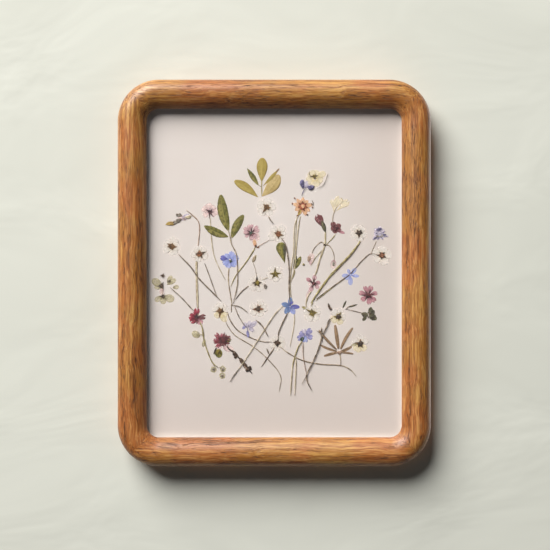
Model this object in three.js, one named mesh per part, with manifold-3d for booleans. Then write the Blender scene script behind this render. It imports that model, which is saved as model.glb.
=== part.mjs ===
// A small wall frame that shows pressed flowers on a card held between two panes.
// Millimetres, +Z up, front towards -Y, origin on the wall plane behind the middle of the frame.
//
// Everything is drawn as it lies face up on a bench: x to the right, y up the frame, and z towards
// the viewer from the back face of the mouldings. The finished group is then stood upright.

import * as THREE from 'three';
import { mergeVertices } from 'three/addons/utils/BufferGeometryUtils.js';
import Module from 'manifold-3d';

const wasm = await Module();
wasm.setup();

// ---------------------------------------------------------------- driving dimensions

const OUTER_WIDTH = 204;
const OUTER_HEIGHT = 252;
const FACE_WIDTH = 19;           // moulding, seen from the front
const FRAME_DEPTH = 19;          // moulding, back face to crown
const OUTER_CORNER = 27;         // outer corner radius; the sight corner is concentric
const CROWN_OFFSET = 8.5;        // crown of the moulding, from its outer edge
const OUTER_ROUND = 8;           // height of the elliptic round on the outer side
const SIGHT_DROP = 6.7;          // fall of the circular round on the sight side, crown to lip
const BACK_CHAMFER = 0.6;
const SIGHT_LAND = 0.5;          // flat edge of the lip, above the rebate
const REBATE_WIDTH = 6;
const MITRE_GAP = 0.1;           // glue line in each mitre

const BUMPER_HEIGHT = 3.5;       // stand-off from the wall
const BUMPER_DIAMETER = 9;
const BUMPER_SIDE = 1.9;         // height of the bumper's straight side; the rest is rounded

const PANE_THICKNESS = 1.5;
const PANE_GAP = 2.8;            // room for the flowers between the front pane and the card
const GROUND_THICKNESS = 1.2;
const FILLER_THICKNESS = 1.5;
const SLIP = 0.1;                // clearance between the layers of the stack
const PANE_CLEARANCE = 0.5;      // clearance of each pane edge in the rebate
const SPACER_WIDTH = 5;
const BACK_BOARD_RECESS = 0.2;   // back board, below the back face of the mouldings

const KEY = { length: 12, width: 3.6, thickness: 1.6, height: 5, reach: 22.6, clearance: 0.3 };
const SCREW = { shank: 2.8, head: 6, crown: 3.6, headHeight: 1.2, length: 9, tip: 2 };
const SHOULDER = 0.6;            // height of the screw head's domed edge, as a share of the head's
const PILOT = { diameter: 3.4, depth: 9.6 };
const BUTTON = { reach: 14.5, tail: 4.5, nose: 3, thickness: 1, lift: 0.05, hole: 3.4 };
const RING = { wire: 1.6, reach: 10, halfWidth: 6.7, straight: 5.2, bend: 1.2 };
const RING_BOW = [[0.17, 1], [0.5, 0.94], [0.86, 0.57]];    // shares of its reach and half width
const STRAP = { thickness: 0.7, width: 7, length: 11, screwOffset: 6.8, bore: 1.9, overlap: 0.4 };

const FASTENER_INSET = 6.5;      // screws, from the outer edge of the moulding
const SIDE_BUTTON_Y = 72;        // turn buttons on the stiles, above and below the middle
const RING_Y = 42;               // hanging rings, a third of the height below the top
const BUMPER_X = 66;

const ROUND_STEPS = 6;           // facets across each side of the moulding's round
const CORNER_STEPS = 6;          // facets along half a corner
const OVERSHOOT = 1;             // how far a cutting tool runs past the face it enters

// ---------------------------------------------------------------- values worked out from them

const SIGHT_WIDTH = OUTER_WIDTH - 2 * FACE_WIDTH;
const SIGHT_HEIGHT = OUTER_HEIGHT - 2 * FACE_WIDTH;
const WALL_WIDTH = FACE_WIDTH - REBATE_WIDTH;
const SIGHT_RUN = FACE_WIDTH - CROWN_OFFSET;
const SIGHT_RADIUS = (SIGHT_RUN ** 2 + SIGHT_DROP ** 2) / (2 * SIGHT_DROP);
const REBATE_TOP = FRAME_DEPTH - SIGHT_DROP - SIGHT_LAND;
const PANE_WIDTH = SIGHT_WIDTH + 2 * (REBATE_WIDTH - PANE_CLEARANCE);
const PANE_HEIGHT = SIGHT_HEIGHT + 2 * (REBATE_WIDTH - PANE_CLEARANCE);

// The stack in the rebate, from the lip backwards. Each value is the rear face of a layer.
const FRONT_PANE_Z = REBATE_TOP - SLIP - PANE_THICKNESS;
const FLOWER_GAP_Z = FRONT_PANE_Z - SLIP - PANE_GAP;
const GROUND_Z = FLOWER_GAP_Z - SLIP - GROUND_THICKNESS;
const REAR_PANE_Z = GROUND_Z - SLIP - PANE_THICKNESS;
const FILLER_Z = REAR_PANE_Z - SLIP - FILLER_THICKNESS;
const BACK_BOARD_THICKNESS = FILLER_Z - SLIP - BACK_BOARD_RECESS;

const KNUCKLE_RADIUS = STRAP.bore / 2 + STRAP.thickness;
const KNUCKLE_X = OUTER_WIDTH / 2 - FASTENER_INSET - STRAP.screwOffset;
const KNUCKLE_Z = -BUTTON.lift - KNUCKLE_RADIUS;

// ---------------------------------------------------------------- solids

function toSolid(geometry) {
  const bare = new THREE.BufferGeometry();
  bare.setAttribute('position', geometry.getAttribute('position').clone());
  if (geometry.index) bare.setIndex(geometry.index.clone());
  const welded = mergeVertices(bare, 1e-4);
  return new wasm.Manifold(new wasm.Mesh({
    numProp: 3,
    vertProperties: Float32Array.from(welded.getAttribute('position').array),
    triVerts: Uint32Array.from(welded.index.array),
  }));
}

function toGeometry(solid) {
  const mesh = solid.getMesh();
  const geometry = new THREE.BufferGeometry();
  geometry.setAttribute('position', new THREE.BufferAttribute(Float32Array.from(mesh.vertProperties), 3));
  geometry.setIndex(new THREE.BufferAttribute(Uint32Array.from(mesh.triVerts), 1));
  geometry.computeVertexNormals();
  return geometry;
}

function cut(geometry, tools) {
  return toGeometry(tools.reduce((solid, tool) => solid.subtract(toSolid(tool)), toSolid(geometry)));
}

function join(geometries) {
  return toGeometry(geometries.map(toSolid).reduce((whole, solid) => whole.add(solid)));
}

// A flat blank of a given outline: z from 0 to its thickness.
function blank(shape, thickness, curveSegments = 10) {
  return new THREE.ExtrudeGeometry(shape, { depth: thickness, bevelEnabled: false, curveSegments });
}

function slab(width, height, thickness) {
  return new THREE.BoxGeometry(width, height, thickness).translate(0, 0, thickness / 2);
}

// A drilled hole, or a pin, along z from z0 to z1.
function bore(diameter, x, y, z0, z1) {
  return new THREE.CylinderGeometry(diameter / 2, diameter / 2, z1 - z0, 12)
    .rotateX(Math.PI / 2)
    .translate(x, y, (z0 + z1) / 2);
}

// A body of revolution about z, from [radius, z] points that start and end on the axis.
function turned(points, sides) {
  const profile = points.map(([radius, z]) => new THREE.Vector2(radius, z));
  return new THREE.LatheGeometry(profile, sides).rotateX(Math.PI / 2);
}

// ---------------------------------------------------------------- scene graph

const part = new THREE.Group();
const bench = new THREE.Group();
bench.rotation.x = Math.PI / 2;
bench.position.y = -BUMPER_HEIGHT;
part.add(bench);

const FINISH = {
  oak: { color: 0xb47a43, roughness: 0.45, metalness: 0 },
  spline: { color: 0xc9a678, roughness: 0.7, metalness: 0 },
  glass: { color: 0xf2f6f4, roughness: 0.03, metalness: 0, transparent: true, opacity: 0.25 },
  spacer: { color: 0xf3f1ec, roughness: 0.8, metalness: 0 },
  ground: { color: 0xded2ca, roughness: 0.9, metalness: 0 },
  filler: { color: 0xf0efe9, roughness: 0.9, metalness: 0 },
  board: { color: 0x9a7350, roughness: 0.85, metalness: 0 },
  brass: { color: 0xb08d4f, roughness: 0.35, metalness: 1 },
  steel: { color: 0xb9bcc0, roughness: 0.35, metalness: 1 },
  felt: { color: 0xe6e2d8, roughness: 1, metalness: 0 },
};

function add(name, geometry, finish, place = {}) {
  const material = new THREE.MeshStandardMaterial(FINISH[finish] ?? { roughness: 0.9, ...finish });
  const mesh = new THREE.Mesh(geometry, material);
  mesh.name = name;
  mesh.position.set(place.x ?? 0, place.y ?? 0, place.z ?? 0);
  mesh.rotation.z = place.turn ?? 0;
  bench.add(mesh);
}

// ---------------------------------------------------------------- mouldings

// Part of an ellipse about (u, z), from angle a to angle b.
function ellipseArc(u, z, radiusU, radiusZ, a, b) {
  const points = [];
  for (let i = 0; i <= ROUND_STEPS; i++) {
    const angle = a + ((b - a) * i) / ROUND_STEPS;
    points.push([u + radiusU * Math.cos(angle), z + radiusZ * Math.sin(angle)]);
  }
  return points;
}

// Cross-section before the rebate is cut: u runs inwards from the outer edge, z from the back.
function mouldingSection() {
  const outer = ellipseArc(CROWN_OFFSET, FRAME_DEPTH - OUTER_ROUND, CROWN_OFFSET, OUTER_ROUND,
    Math.PI, Math.PI / 2);
  const sight = ellipseArc(CROWN_OFFSET, FRAME_DEPTH - SIGHT_RADIUS, SIGHT_RADIUS, SIGHT_RADIUS,
    Math.PI / 2, Math.acos(SIGHT_RUN / SIGHT_RADIUS));
  return [[BACK_CHAMFER, 0], [0, BACK_CHAMFER], ...outer, ...sight.slice(1), [FACE_WIDTH, 0]];
}

// Where the section stands along a member: half a corner, the straight run, half a corner.
function memberStations(length, reach) {
  const centreX = length / 2 - OUTER_CORNER;
  const centreY = OUTER_CORNER - reach;
  const stations = [];
  for (const side of [-1, 1]) {
    for (let i = 0; i <= CORNER_STEPS; i++) {
      const share = side < 0 ? 1 - i / CORNER_STEPS : i / CORNER_STEPS;
      const angle = (side * share * Math.PI) / 4;
      const trim = share === 1 ? (-side * MITRE_GAP) / 2 : 0;
      stations.push({
        x: side * centreX + trim * Math.cos(angle),
        y: centreY + trim * Math.sin(angle),
        out: [Math.sin(angle), -Math.cos(angle)],
      });
    }
  }
  return stations;
}

// The section carried through the stations, closed by a flat mitre face at each end.
function memberBlank(length, reach) {
  const section = mouldingSection();
  const stations = memberStations(length, reach);
  const position = [];
  for (const { x, y, out } of stations) {
    for (const [u, z] of section) {
      position.push(x + (OUTER_CORNER - u) * out[0], y + (OUTER_CORNER - u) * out[1], z);
    }
  }
  const count = section.length;
  const index = [];
  for (let s = 0; s < stations.length - 1; s++) {
    for (let i = 0; i < count; i++) {
      const a = s * count + i;
      const b = s * count + ((i + 1) % count);
      index.push(a, a + count, b, b, a + count, b + count);
    }
  }
  const outline = section.map(([u, z]) => new THREE.Vector2(u, z));
  const last = (stations.length - 1) * count;
  for (const [a, b, c] of THREE.ShapeUtils.triangulateShape(outline, [])) {
    index.push(a, c, b);
    index.push(last + a, last + b, last + c);
  }
  const geometry = new THREE.BufferGeometry();
  geometry.setAttribute('position', new THREE.Float32BufferAttribute(position, 3));
  geometry.setIndex(index);
  return geometry;
}

// Slot for half of a mitre key, across the mitre at one end.
function keyBlank(extra) {
  return new THREE.BoxGeometry(KEY.length + extra, KEY.width + extra, KEY.thickness + extra);
}

function keyPlace(length, reach, side) {
  const diagonal = KEY.reach * Math.SQRT1_2;
  return { x: side * (length / 2 - OUTER_CORNER + diagonal), y: OUTER_CORNER - reach - diagonal };
}

// One member, drawn as the bottom one: rebate, blind key slots and pilot holes cut in its back.
function member(length, reach, pilots) {
  const rebate = slab(length - 2 * WALL_WIDTH, 2 * FACE_WIDTH, REBATE_TOP + OVERSHOOT)
    .translate(0, WALL_WIDTH + FACE_WIDTH - reach, -OVERSHOOT);
  const slots = [-1, 1].map((side) => {
    const { x, y } = keyPlace(length, reach, side);
    return keyBlank(2 * KEY.clearance).rotateZ((side * Math.PI) / 4).translate(x, y, KEY.height);
  });
  const holes = pilots.map((x) => bore(PILOT.diameter, x, FASTENER_INSET - reach, -OVERSHOOT, PILOT.depth));
  return cut(memberBlank(length, reach), [rebate, ...slots, ...holes]);
}

const MEMBERS = [
  { name: 'rail_bottom', length: OUTER_WIDTH, reach: OUTER_HEIGHT / 2, turn: 0, pilots: [0] },
  {
    name: 'stile_right', length: OUTER_HEIGHT, reach: OUTER_WIDTH / 2, turn: Math.PI / 2,
    pilots: [-SIDE_BUTTON_Y, RING_Y, SIDE_BUTTON_Y],
  },
  { name: 'rail_top', length: OUTER_WIDTH, reach: OUTER_HEIGHT / 2, turn: Math.PI, pilots: [0] },
  {
    name: 'stile_left', length: OUTER_HEIGHT, reach: OUTER_WIDTH / 2, turn: -Math.PI / 2,
    pilots: [-SIDE_BUTTON_Y, -RING_Y, SIDE_BUTTON_Y],
  },
];
for (const { name, length, reach, turn, pilots } of MEMBERS) {
  add(name, member(length, reach, pilots), 'oak', { turn });
}

// ---------------------------------------------------------------- mitre keys and bumpers

const CORNERS = [
  { name: 'top_left', sideX: -1, sideY: 1 },
  { name: 'top_right', sideX: 1, sideY: 1 },
  { name: 'bottom_left', sideX: -1, sideY: -1 },
  { name: 'bottom_right', sideX: 1, sideY: -1 },
];
const bumperRadius = BUMPER_DIAMETER / 2;
const bumperRound = BUMPER_HEIGHT - BUMPER_SIDE;
for (const { name, sideX, sideY } of CORNERS) {
  const key = keyPlace(OUTER_WIDTH, OUTER_HEIGHT / 2, sideX);
  add(`mitre_key_${name}`, keyBlank(0), 'spline',
    { x: key.x, y: -sideY * key.y, z: KEY.height, turn: (-sideX * sideY * Math.PI) / 4 });
  const bumper = turned([
    [0, -BUMPER_HEIGHT], [bumperRadius - bumperRound, -BUMPER_HEIGHT],
    [bumperRadius - bumperRound * (1 - Math.SQRT1_2), -BUMPER_SIDE - bumperRound * Math.SQRT1_2],
    [bumperRadius, -BUMPER_SIDE], [bumperRadius, 0], [0, 0],
  ], 12);
  add(`wall_bumper_${name}`, bumper, 'felt',
    { x: sideX * BUMPER_X, y: sideY * (OUTER_HEIGHT / 2 - FASTENER_INSET) });
}

// ---------------------------------------------------------------- the stack in the rebate

add('front_glass', slab(PANE_WIDTH, PANE_HEIGHT, PANE_THICKNESS), 'glass', { z: FRONT_PANE_Z });
add('rear_glass', slab(PANE_WIDTH, PANE_HEIGHT, PANE_THICKNESS), 'glass', { z: REAR_PANE_Z });
add('ground_card', slab(PANE_WIDTH, PANE_HEIGHT, GROUND_THICKNESS), 'ground', { z: GROUND_Z });
add('filler_board', slab(PANE_WIDTH, PANE_HEIGHT, FILLER_THICKNESS), 'filler', { z: FILLER_Z });
add('back_board', slab(PANE_WIDTH, PANE_HEIGHT, BACK_BOARD_THICKNESS), 'board',
  { z: BACK_BOARD_RECESS });

const sideSpacerLength = PANE_HEIGHT - 2 * (SPACER_WIDTH + SLIP);
for (const side of [-1, 1]) {
  add(side > 0 ? 'edge_spacer_top' : 'edge_spacer_bottom', slab(PANE_WIDTH, SPACER_WIDTH, PANE_GAP),
    'spacer', { y: side * (PANE_HEIGHT - SPACER_WIDTH) / 2, z: FLOWER_GAP_Z });
  add(side > 0 ? 'edge_spacer_right' : 'edge_spacer_left',
    slab(SPACER_WIDTH, sideSpacerLength, PANE_GAP),
    'spacer', { x: side * (PANE_WIDTH - SPACER_WIDTH) / 2, z: FLOWER_GAP_Z });
}

// ---------------------------------------------------------------- turn buttons and screws

// A flat teardrop that turns on its screw; it points along +x.
function turnButton() {
  const { reach, tail, nose, thickness, hole } = BUTTON;
  const lean = Math.acos((tail - nose) / reach);
  const outline = new THREE.Shape();
  outline.absarc(0, 0, tail, lean, 2 * Math.PI - lean, false);
  outline.absarc(reach, 0, nose, -lean, lean, false);
  outline.closePath();
  const eye = new THREE.Path();
  eye.absarc(0, 0, hole / 2, 0, 2 * Math.PI, true);
  outline.holes.push(eye);
  return blank(outline, thickness, 6);
}

// Pan-head screw: the head sits behind a plate whose rear face is at z = 0.
function screw() {
  const { headHeight, length, tip } = SCREW;
  const head = SCREW.head / 2;
  const crown = SCREW.crown / 2;
  const shank = SCREW.shank / 2;
  const shoulder = [(crown + 3 * head) / 4, -SHOULDER * headHeight];
  return turned([
    [0, -headHeight], [crown, -headHeight], shoulder, [head, 0], [shank, 0],
    [shank, length - tip], [0, length],
  ], 10);
}

const BUTTONS = [
  { name: 'top', x: 0, y: OUTER_HEIGHT / 2 - FASTENER_INSET, turn: -Math.PI / 2 },
  { name: 'bottom', x: 0, y: FASTENER_INSET - OUTER_HEIGHT / 2, turn: Math.PI / 2 },
];
for (const [end, y] of [['upper', SIDE_BUTTON_Y], ['lower', -SIDE_BUTTON_Y]]) {
  BUTTONS.push({ name: `left_${end}`, x: FASTENER_INSET - OUTER_WIDTH / 2, y, turn: 0 });
  BUTTONS.push({ name: `right_${end}`, x: OUTER_WIDTH / 2 - FASTENER_INSET, y, turn: Math.PI });
}
const buttonRear = -BUTTON.lift - BUTTON.thickness;
for (const { name, x, y, turn } of BUTTONS) {
  add(`turn_button_${name}`, turnButton(), 'brass', { x, y, z: buttonRear, turn });
  add(`button_screw_${name}`, screw(), 'brass', { x, y, z: buttonRear - BUTTON.lift });
}

// ---------------------------------------------------------------- hanging rings

// Strap that points along +x: a flat tongue and a knuckle whose axis is the local y axis.
function hangerStrap() {
  const halfWidth = STRAP.width / 2;
  const tongue = new THREE.Shape();
  tongue.moveTo(-STRAP.overlap, -halfWidth);
  tongue.lineTo(-STRAP.overlap, halfWidth);
  tongue.lineTo(halfWidth - STRAP.length, halfWidth);
  tongue.absarc(halfWidth - STRAP.length, 0, halfWidth, Math.PI / 2, 1.5 * Math.PI, false);
  tongue.closePath();
  const hole = new THREE.Path();
  hole.absarc(-STRAP.screwOffset, 0, BUTTON.hole / 2, 0, 2 * Math.PI, true);
  tongue.holes.push(hole);
  const knuckle = new THREE.Shape();
  knuckle.absarc(0, 0, KNUCKLE_RADIUS, 0, 2 * Math.PI, false);
  const eye = new THREE.Path();
  eye.absarc(0, 0, STRAP.bore / 2, 0, 2 * Math.PI, true);
  knuckle.holes.push(eye);
  return join([
    blank(tongue, STRAP.thickness, 6).translate(0, 0, KNUCKLE_RADIUS - STRAP.thickness),
    blank(knuckle, STRAP.width, 8).rotateX(Math.PI / 2).translate(0, halfWidth, 0),
  ]);
}

// D-shaped wire ring whose straight side lies on the local y axis.
function hangerRing() {
  const { reach, halfWidth, straight, bend: turn } = RING;
  const half = [
    [0, straight - turn], [0, straight],
    ...RING_BOW.map(([along, out]) => [along * reach, out * halfWidth]),
  ];
  const points = [[0, 0], ...half, [reach, 0], ...half.map(([x, y]) => [x, -y]).reverse()];
  const bend = new THREE.CatmullRomCurve3(
    points.map(([x, y]) => new THREE.Vector3(x, y, 0)), true, 'catmullrom', 0.5);
  return toGeometry(toSolid(new THREE.TubeGeometry(bend, 26, RING.wire / 2, 6, true)));
}

for (const [name, side] of [['left', -1], ['right', 1]]) {
  const place = { x: side * KNUCKLE_X, y: RING_Y, z: KNUCKLE_Z, turn: side > 0 ? Math.PI : 0 };
  add(`hanger_strap_${name}`, hangerStrap(), 'steel', place);
  add(`hanger_ring_${name}`, hangerRing(), 'steel', place);
  add(`hanger_screw_${name}`, screw(), 'steel', {
    x: side * (KNUCKLE_X + STRAP.screwOffset), y: RING_Y,
    z: -BUTTON.lift - STRAP.thickness - BUTTON.lift,
  });
}

// ---------------------------------------------------------------- pressed flowers

// Each sprig is one thin plate cut to the outline of its stems, leaves and flowers. Sprigs that
// cross lie in different layers on the card; layer 0 lies nearest to it.
// stems: [width, [x, y], ...]; leaves: [base x, base y, tip x, tip y, width]; flowers: [x, y, radius].
const SPRIGS = [
  {
    name: 'golden_leaf_sprig', layer: 0, color: 0xb59a45,
    stems: [[1, [-8.2, 61], [-8.2, 50]], [0.8, [-8.2, 55.5], [-12, 59]]],
    leaves: [
      [-8.2, 59, -7.5, 75.5, 7.2], [-8.4, 50.6, -25.8, 59.8, 6.4], [-11, 57.6, -17.4, 68.3, 3.4],
      [-8.2, 50.2, 3.4, 65.4, 8.8], [-8.2, 56.5, 3.2, 67.2, 2.2],
    ],
    flowers: [],
  },
  {
    name: 'green_leaf_sprig', layer: 1, color: 0x5f6b2c,
    stems: [[1, [-30.4, 29], [-29, 24], [-28, 19], [-24.8, 12], [-24, 0], [-24.4, -9], [-27, -20]]],
    leaves: [
      [-30, 28, -34.6, 51, 6], [-29, 23.8, -45.4, 30.6, 5], [-28.6, 22.4, -20, 37.6, 5],
    ],
    flowers: [],
  },
  {
    name: 'golden_raceme_sprig', layer: 0, color: 0x9d8a6a,
    stems: [
      [1.2, [-66, 32.6], [-60, 36], [-53, 37.2], [-49.2, 34], [-48.4, 28], [-50, 19], [-50.4, 12]],
      [1.9, [-50.4, 14], [-50.8, 2], [-50.2, -12], [-50, -23]],
      [1.2, [-53, 37], [-57.5, 41.4]],
    ],
    leaves: [[-62, 33, -70, 31.6, 3.6], [-58.5, 35.6, -64.5, 38.8, 3]],
    flowers: [],
  },
  {
    name: 'crimson_sprig', layer: 1, color: 0x7c2231,
    stems: [
      [1.4, [-49, -30], [-47, -36.5], [-46, -44], [-43.4, -52], [-40.4, -58.6], [-36, -62]],
      [1, [-40.4, -58.6], [-39.2, -63.4]], [1, [-36, -62], [-33.5, -62.8], [-34, -67]],
      [1, [-46.2, -40], [-50.2, -40.4]],
      [1, [-51, -27], [-56.8, -19.6], [-61.5, -15.4], [-67.5, -8.8], [-72.4, -8]],
      [1.4, [-72.4, -8], [-73, -15.4]],
    ],
    leaves: [
      [-72.5, -8.6, -79, -4.4, 5], [-72.4, -8, -72, 0.6, 3.4], [-70, -8, -64.8, -4.2, 3],
      [-66, -9.8, -61.8, -9.4, 3], [-73, -15, -77, -18.4, 4], [-73, -15, -65, -16.6, 4.6],
    ],
    flowers: [[-50.2, -28.8, 6], [-39.2, -63.2, 1.9], [-33.5, -62.6, 2], [-34, -67, 2]],
  },
  {
    name: 'white_fork_sprig', layer: 1, color: 0xe9e2d2,
    stems: [
      [1, [-67, 17.3], [-62.5, 11.4], [-54.6, 4], [-49.4, -3.4], [-40, -13], [-34.8, -18.3]],
      [1, [-48.8, 12.4], [-45.6, 4.6], [-42.4, -1], [-39.6, -10], [-37.4, -15.6]],
    ],
    leaves: [],
    flowers: [[-67, 17.3, 6.4], [-48.8, 12.4, 6.2]],
  },
  {
    name: 'blue_and_pink_sprig', layer: 0, color: 0x7f8fc4,
    stems: [
      [1.2, [-28.8, 8], [-30, 2], [-29.8, -7], [-28.4, -16], [-27.4, -21.6]],
      [1.4, [-42.5, 39], [-41, 30], [-40.6, 18], [-38.6, 9], [-33.4, -2], [-29.4, -8.4]],
      [1.2, [-14, 26], [-11.8, 16.6], [-19, 6.4], [-25, -1.4], [-28.6, -10]],
      [1, [-28, -20], [-28.2, -25.6]],
    ],
    leaves: [],
    flowers: [[-28.8, 8.4, 6], [-42.4, 40, 5.8], [-15, 26, 6.2]],
  },
  {
    name: 'white_pair_sprig', layer: 0, color: 0xece6d8,
    stems: [
      [1, [-11.4, -6], [-12, 0.6], [-14, 8.6]], [1, [-11.4, -6.4], [0.5, -0.6]],
      [1.2, [-11.4, -6.6], [-17, -8], [-21.4, -12.2], [-25.6, -17.4]],
    ],
    leaves: [[-14, 7.4, -12.2, 11.6, 2.6]],
    flowers: [[-11.3, -6.6, 6], [0.6, -0.6, 5.6]],
  },
  {
    name: 'tall_white_sprig', layer: 2, color: 0xefe8dc,
    stems: [
      [1, [-5, 43], [-2.8, 36], [0.8, 31.4], [2.5, 25.5]],
      [1.1, [2.5, 25.5], [7, 20.4], [8.8, 11], [9.8, 1], [9.6, -8], [9.9, -17]],
    ],
    leaves: [[6.9, 6.8, 1.6, 20, 5.2], [6.9, 6.8, 6, 20, 3]],
    flowers: [[-5, 43, 6.4], [2.5, 25.8, 6.2]],
  },
  {
    name: 'peach_sprig', layer: 0, color: 0xd79a76,
    stems: [
      [1.2, [16, 42], [13.2, 32], [12.6, 14], [11, 2], [10.6, -12], [13.2, -30], [10.4, -48]],
      [1.4, [18, 42], [15.6, 34], [14.4, 16], [13.4, 4], [10.8, -6]],
      [1, [13.6, 8], [17.2, 10]],
    ],
    leaves: [[14.2, 2.6, 17.4, 10.6, 3.2]],
    flowers: [[18, 43, 6.6]],
  },
  {
    name: 'cream_sprig', layer: 1, color: 0xe6d9b4,
    stems: [
      [1, [26.6, 63], [24, 57], [20, 56.4], [18.4, 53.6], [16.6, 49.4]],
      [1, [27, 63], [33, 62.4], [35.2, 66]],
    ],
    leaves: [[18.6, 54, 17.8, 61, 2.8], [21, 56.6, 26.4, 55.6, 2.8]],
    flowers: [[26.8, 62.2, 6.2]],
  },
  {
    name: 'branching_sprig', layer: 0, color: 0x6d4a45,
    stems: [
      [2, [32, 31], [33.2, 26], [33, 18], [30, 9.6], [28, 2], [26, -6]],
      [1, [43, 45], [38.8, 38.8], [38.2, 34], [39.6, 29], [38.8, 23.4], [33.4, 18]],
      [1, [33, 18], [29.4, 20], [25.4, 15], [22.6, 11]],
      [1, [33, 18.4], [36, 18.2], [38.8, 14.4], [39.4, 9], [38.6, 4.6]],
      [1.4, [25.4, -7], [22, -12], [20.6, -20], [21.4, -24]],
    ],
    leaves: [
      [33.2, 28.2, 27.6, 38.6, 4.4], [38.8, 38.4, 47, 48.4, 8], [22.6, 6.8, 22.4, 13.6, 4.4],
      [38.4, 8, 38.6, 2.8, 3.6],
    ],
    flowers: [[40, 29, 4.8], [25.4, -6.8, 5.8]],
  },
  {
    name: 'stout_white_sprig', layer: 1, color: 0x8b8353,
    stems: [
      [1.8, [55.4, 26], [55, 20], [49.6, 12], [43, 5], [37.4, -0.8], [30.4, -10], [24, -19.6]],
      [1.2, [25, -18.6], [25, -26]], [1, [25, -26], [19.6, -23.4]],
    ],
    leaves: [],
    flowers: [[55.4, 26.2, 6.2], [25, -26, 5.8]],
  },
  {
    name: 'blue_and_lilac_sprig', layer: 0, color: 0x8d90b8,
    stems: [
      [1, [70.4, 11.4], [63.8, 12.2], [57, 7.4], [49.6, -0.8], [42, -6.2], [33, -12.8], [27.6, -17]],
      [1, [68, 25], [65.6, 19], [63.4, 12]],
    ],
    leaves: [[68, 25, 74.4, 24.2, 2.4]],
    flowers: [[70.4, 11.4, 6.4], [68, 26, 5.2], [49.6, -0.8, 6.2]],
  },
  {
    name: 'dark_leaf_sprig', layer: 0, color: 0x4d4a35,
    stems: [
      [1, [63, -26], [57, -26.6], [52, -24.8], [47, -23]], [1, [47.6, -23], [50, -20.6], [53, -20.4]],
      [1, [47, -23], [44.8, -22], [46.4, -18]], [1, [61.5, -14], [63, -26]],
      [1, [57, -27], [59.8, -30.4]],
    ],
    leaves: [[61, -28, 66.6, -29.4, 4], [62.4, -28, 63.6, -22.4, 3.4], [56, -27, 62, -27.6, 3]],
    flowers: [[61.5, -14, 6.4]],
  },
  {
    name: 'lilac_fork_sprig', layer: 1, color: 0xcfc4d2,
    stems: [
      [1, [-27.4, -21.6], [-22.6, -22.4], [-16, -26], [-10.5, -23.6]],
      [1, [-26, -21.8], [-23.4, -28], [-20, -33.4], [-16.5, -35.6]],
      [1, [-19.4, -34], [-18.2, -41]],
    ],
    leaves: [[-18.8, -38.6, -17.2, -42, 2.4]],
    flowers: [[-10.5, -23.5, 6.4], [-16.6, -35.4, 5.4]],
  },
  {
    name: 'maroon_sprig', layer: 0, color: 0x5b2a28,
    stems: [
      [1.2, [-35.2, -25], [-36, -32], [-35.4, -43]],
      [1.8, [-32, -45], [-29.4, -50], [-25.6, -51.6], [-23.6, -55], [-19, -58.4], [-14.6, -65]],
      [1.4, [-37.6, -45], [-37.4, -51]],
    ],
    leaves: [
      [-37.6, -48.6, -35.6, -53.6, 5], [-34, -44, -27.6, -46.4, 5], [-26, -53, -18.6, -60.4, 3.6],
    ],
    flowers: [[-35.2, -24.9, 5.8], [-34.4, -43.4, 6]],
  },
  {
    name: 'trailing_sprig', layer: 0, color: 0x5c5238,
    stems: [
      [1.1, [-30, -25.8], [-28.4, -31], [-24, -37.4], [-16, -42], [-8, -44.6], [2, -46]],
      [1.1, [2, -46], [8, -51.6], [18, -57], [30, -59.6], [44, -60.4], [53.4, -66]],
      [1.1, [-29.4, -29], [-31, -33.6], [-25.6, -40.8], [-14, -48], [-4.6, -56], [4, -67], [3.4, -76]],
      [1.2, [2, -46], [-4, -54.6], [-8.6, -61]], [1.2, [41.6, -51], [43, -56], [43, -60.4]],
      [1, [44, -51], [50, -47], [56.3, -46.2]],
    ],
    leaves: [
      [41.4, -52, 39, -33.8, 2.6], [41.6, -52.4, 51, -35, 2.8], [42.2, -52.6, 28.6, -37, 2.2],
      [42.4, -52.4, 30, -46.2, 2.2], [42, -52, 32.4, -53.6, 2.4], [41, -51.4, 51.2, -52, 2],
    ],
    flowers: [[2, -46, 5.6], [56.3, -46.3, 6]],
  },
  {
    name: 'dark_stem_sprig', layer: 2, color: 0x4a3a2c,
    stems: [
      [1.1, [42, -28.4], [36.4, -30], [33.4, -37], [31, -42], [28.8, -50], [25, -58.8], [21, -68],
        [24.2, -75]],
      [1, [21, -67.6], [18.6, -71.8]],
    ],
    leaves: [[31.2, -44, 31.2, -35.4, 1.6]],
    flowers: [[42, -28.4, 5.8]],
  },
  {
    name: 'deep_blue_sprig', layer: 1, color: 0x56639f,
    stems: [
      [1.3, [10, -21.6], [6.2, -31], [3, -38.4], [2.4, -45]],
      [1.3, [10, -21.6], [2, -25], [-7, -38], [-14, -49], [-20.4, -58.8], [-28.6, -69.8]],
    ],
    leaves: [[-11.2, -29.6, -6.2, -36.8, 1.6]],
    flowers: [[10.4, -21.4, 6.2]],
  },
  {
    name: 'violet_sprig', layer: 1, color: 0x8a7fb0,
    stems: [
      [1.6, [19.6, -41], [15.4, -49], [12.4, -57.6], [11.2, -68], [10.6, -80]],
      [1.2, [13, -54], [14, -60], [12.8, -80]],
      [1, [18.6, -44], [18.9, -54], [21.4, -67]],
    ],
    leaves: [],
    flowers: [[20.4, -40.6, 5.6]],
  },
];
const PLATE_THICKNESS = 0.2;
const LAYER_PITCH = 0.3;
const STEM_STEPS = 2;            // straight pieces between two of a stem's points
const PETAL_NOTCH = 0.75;        // radius between two petals, as a share of the flower's

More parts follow.
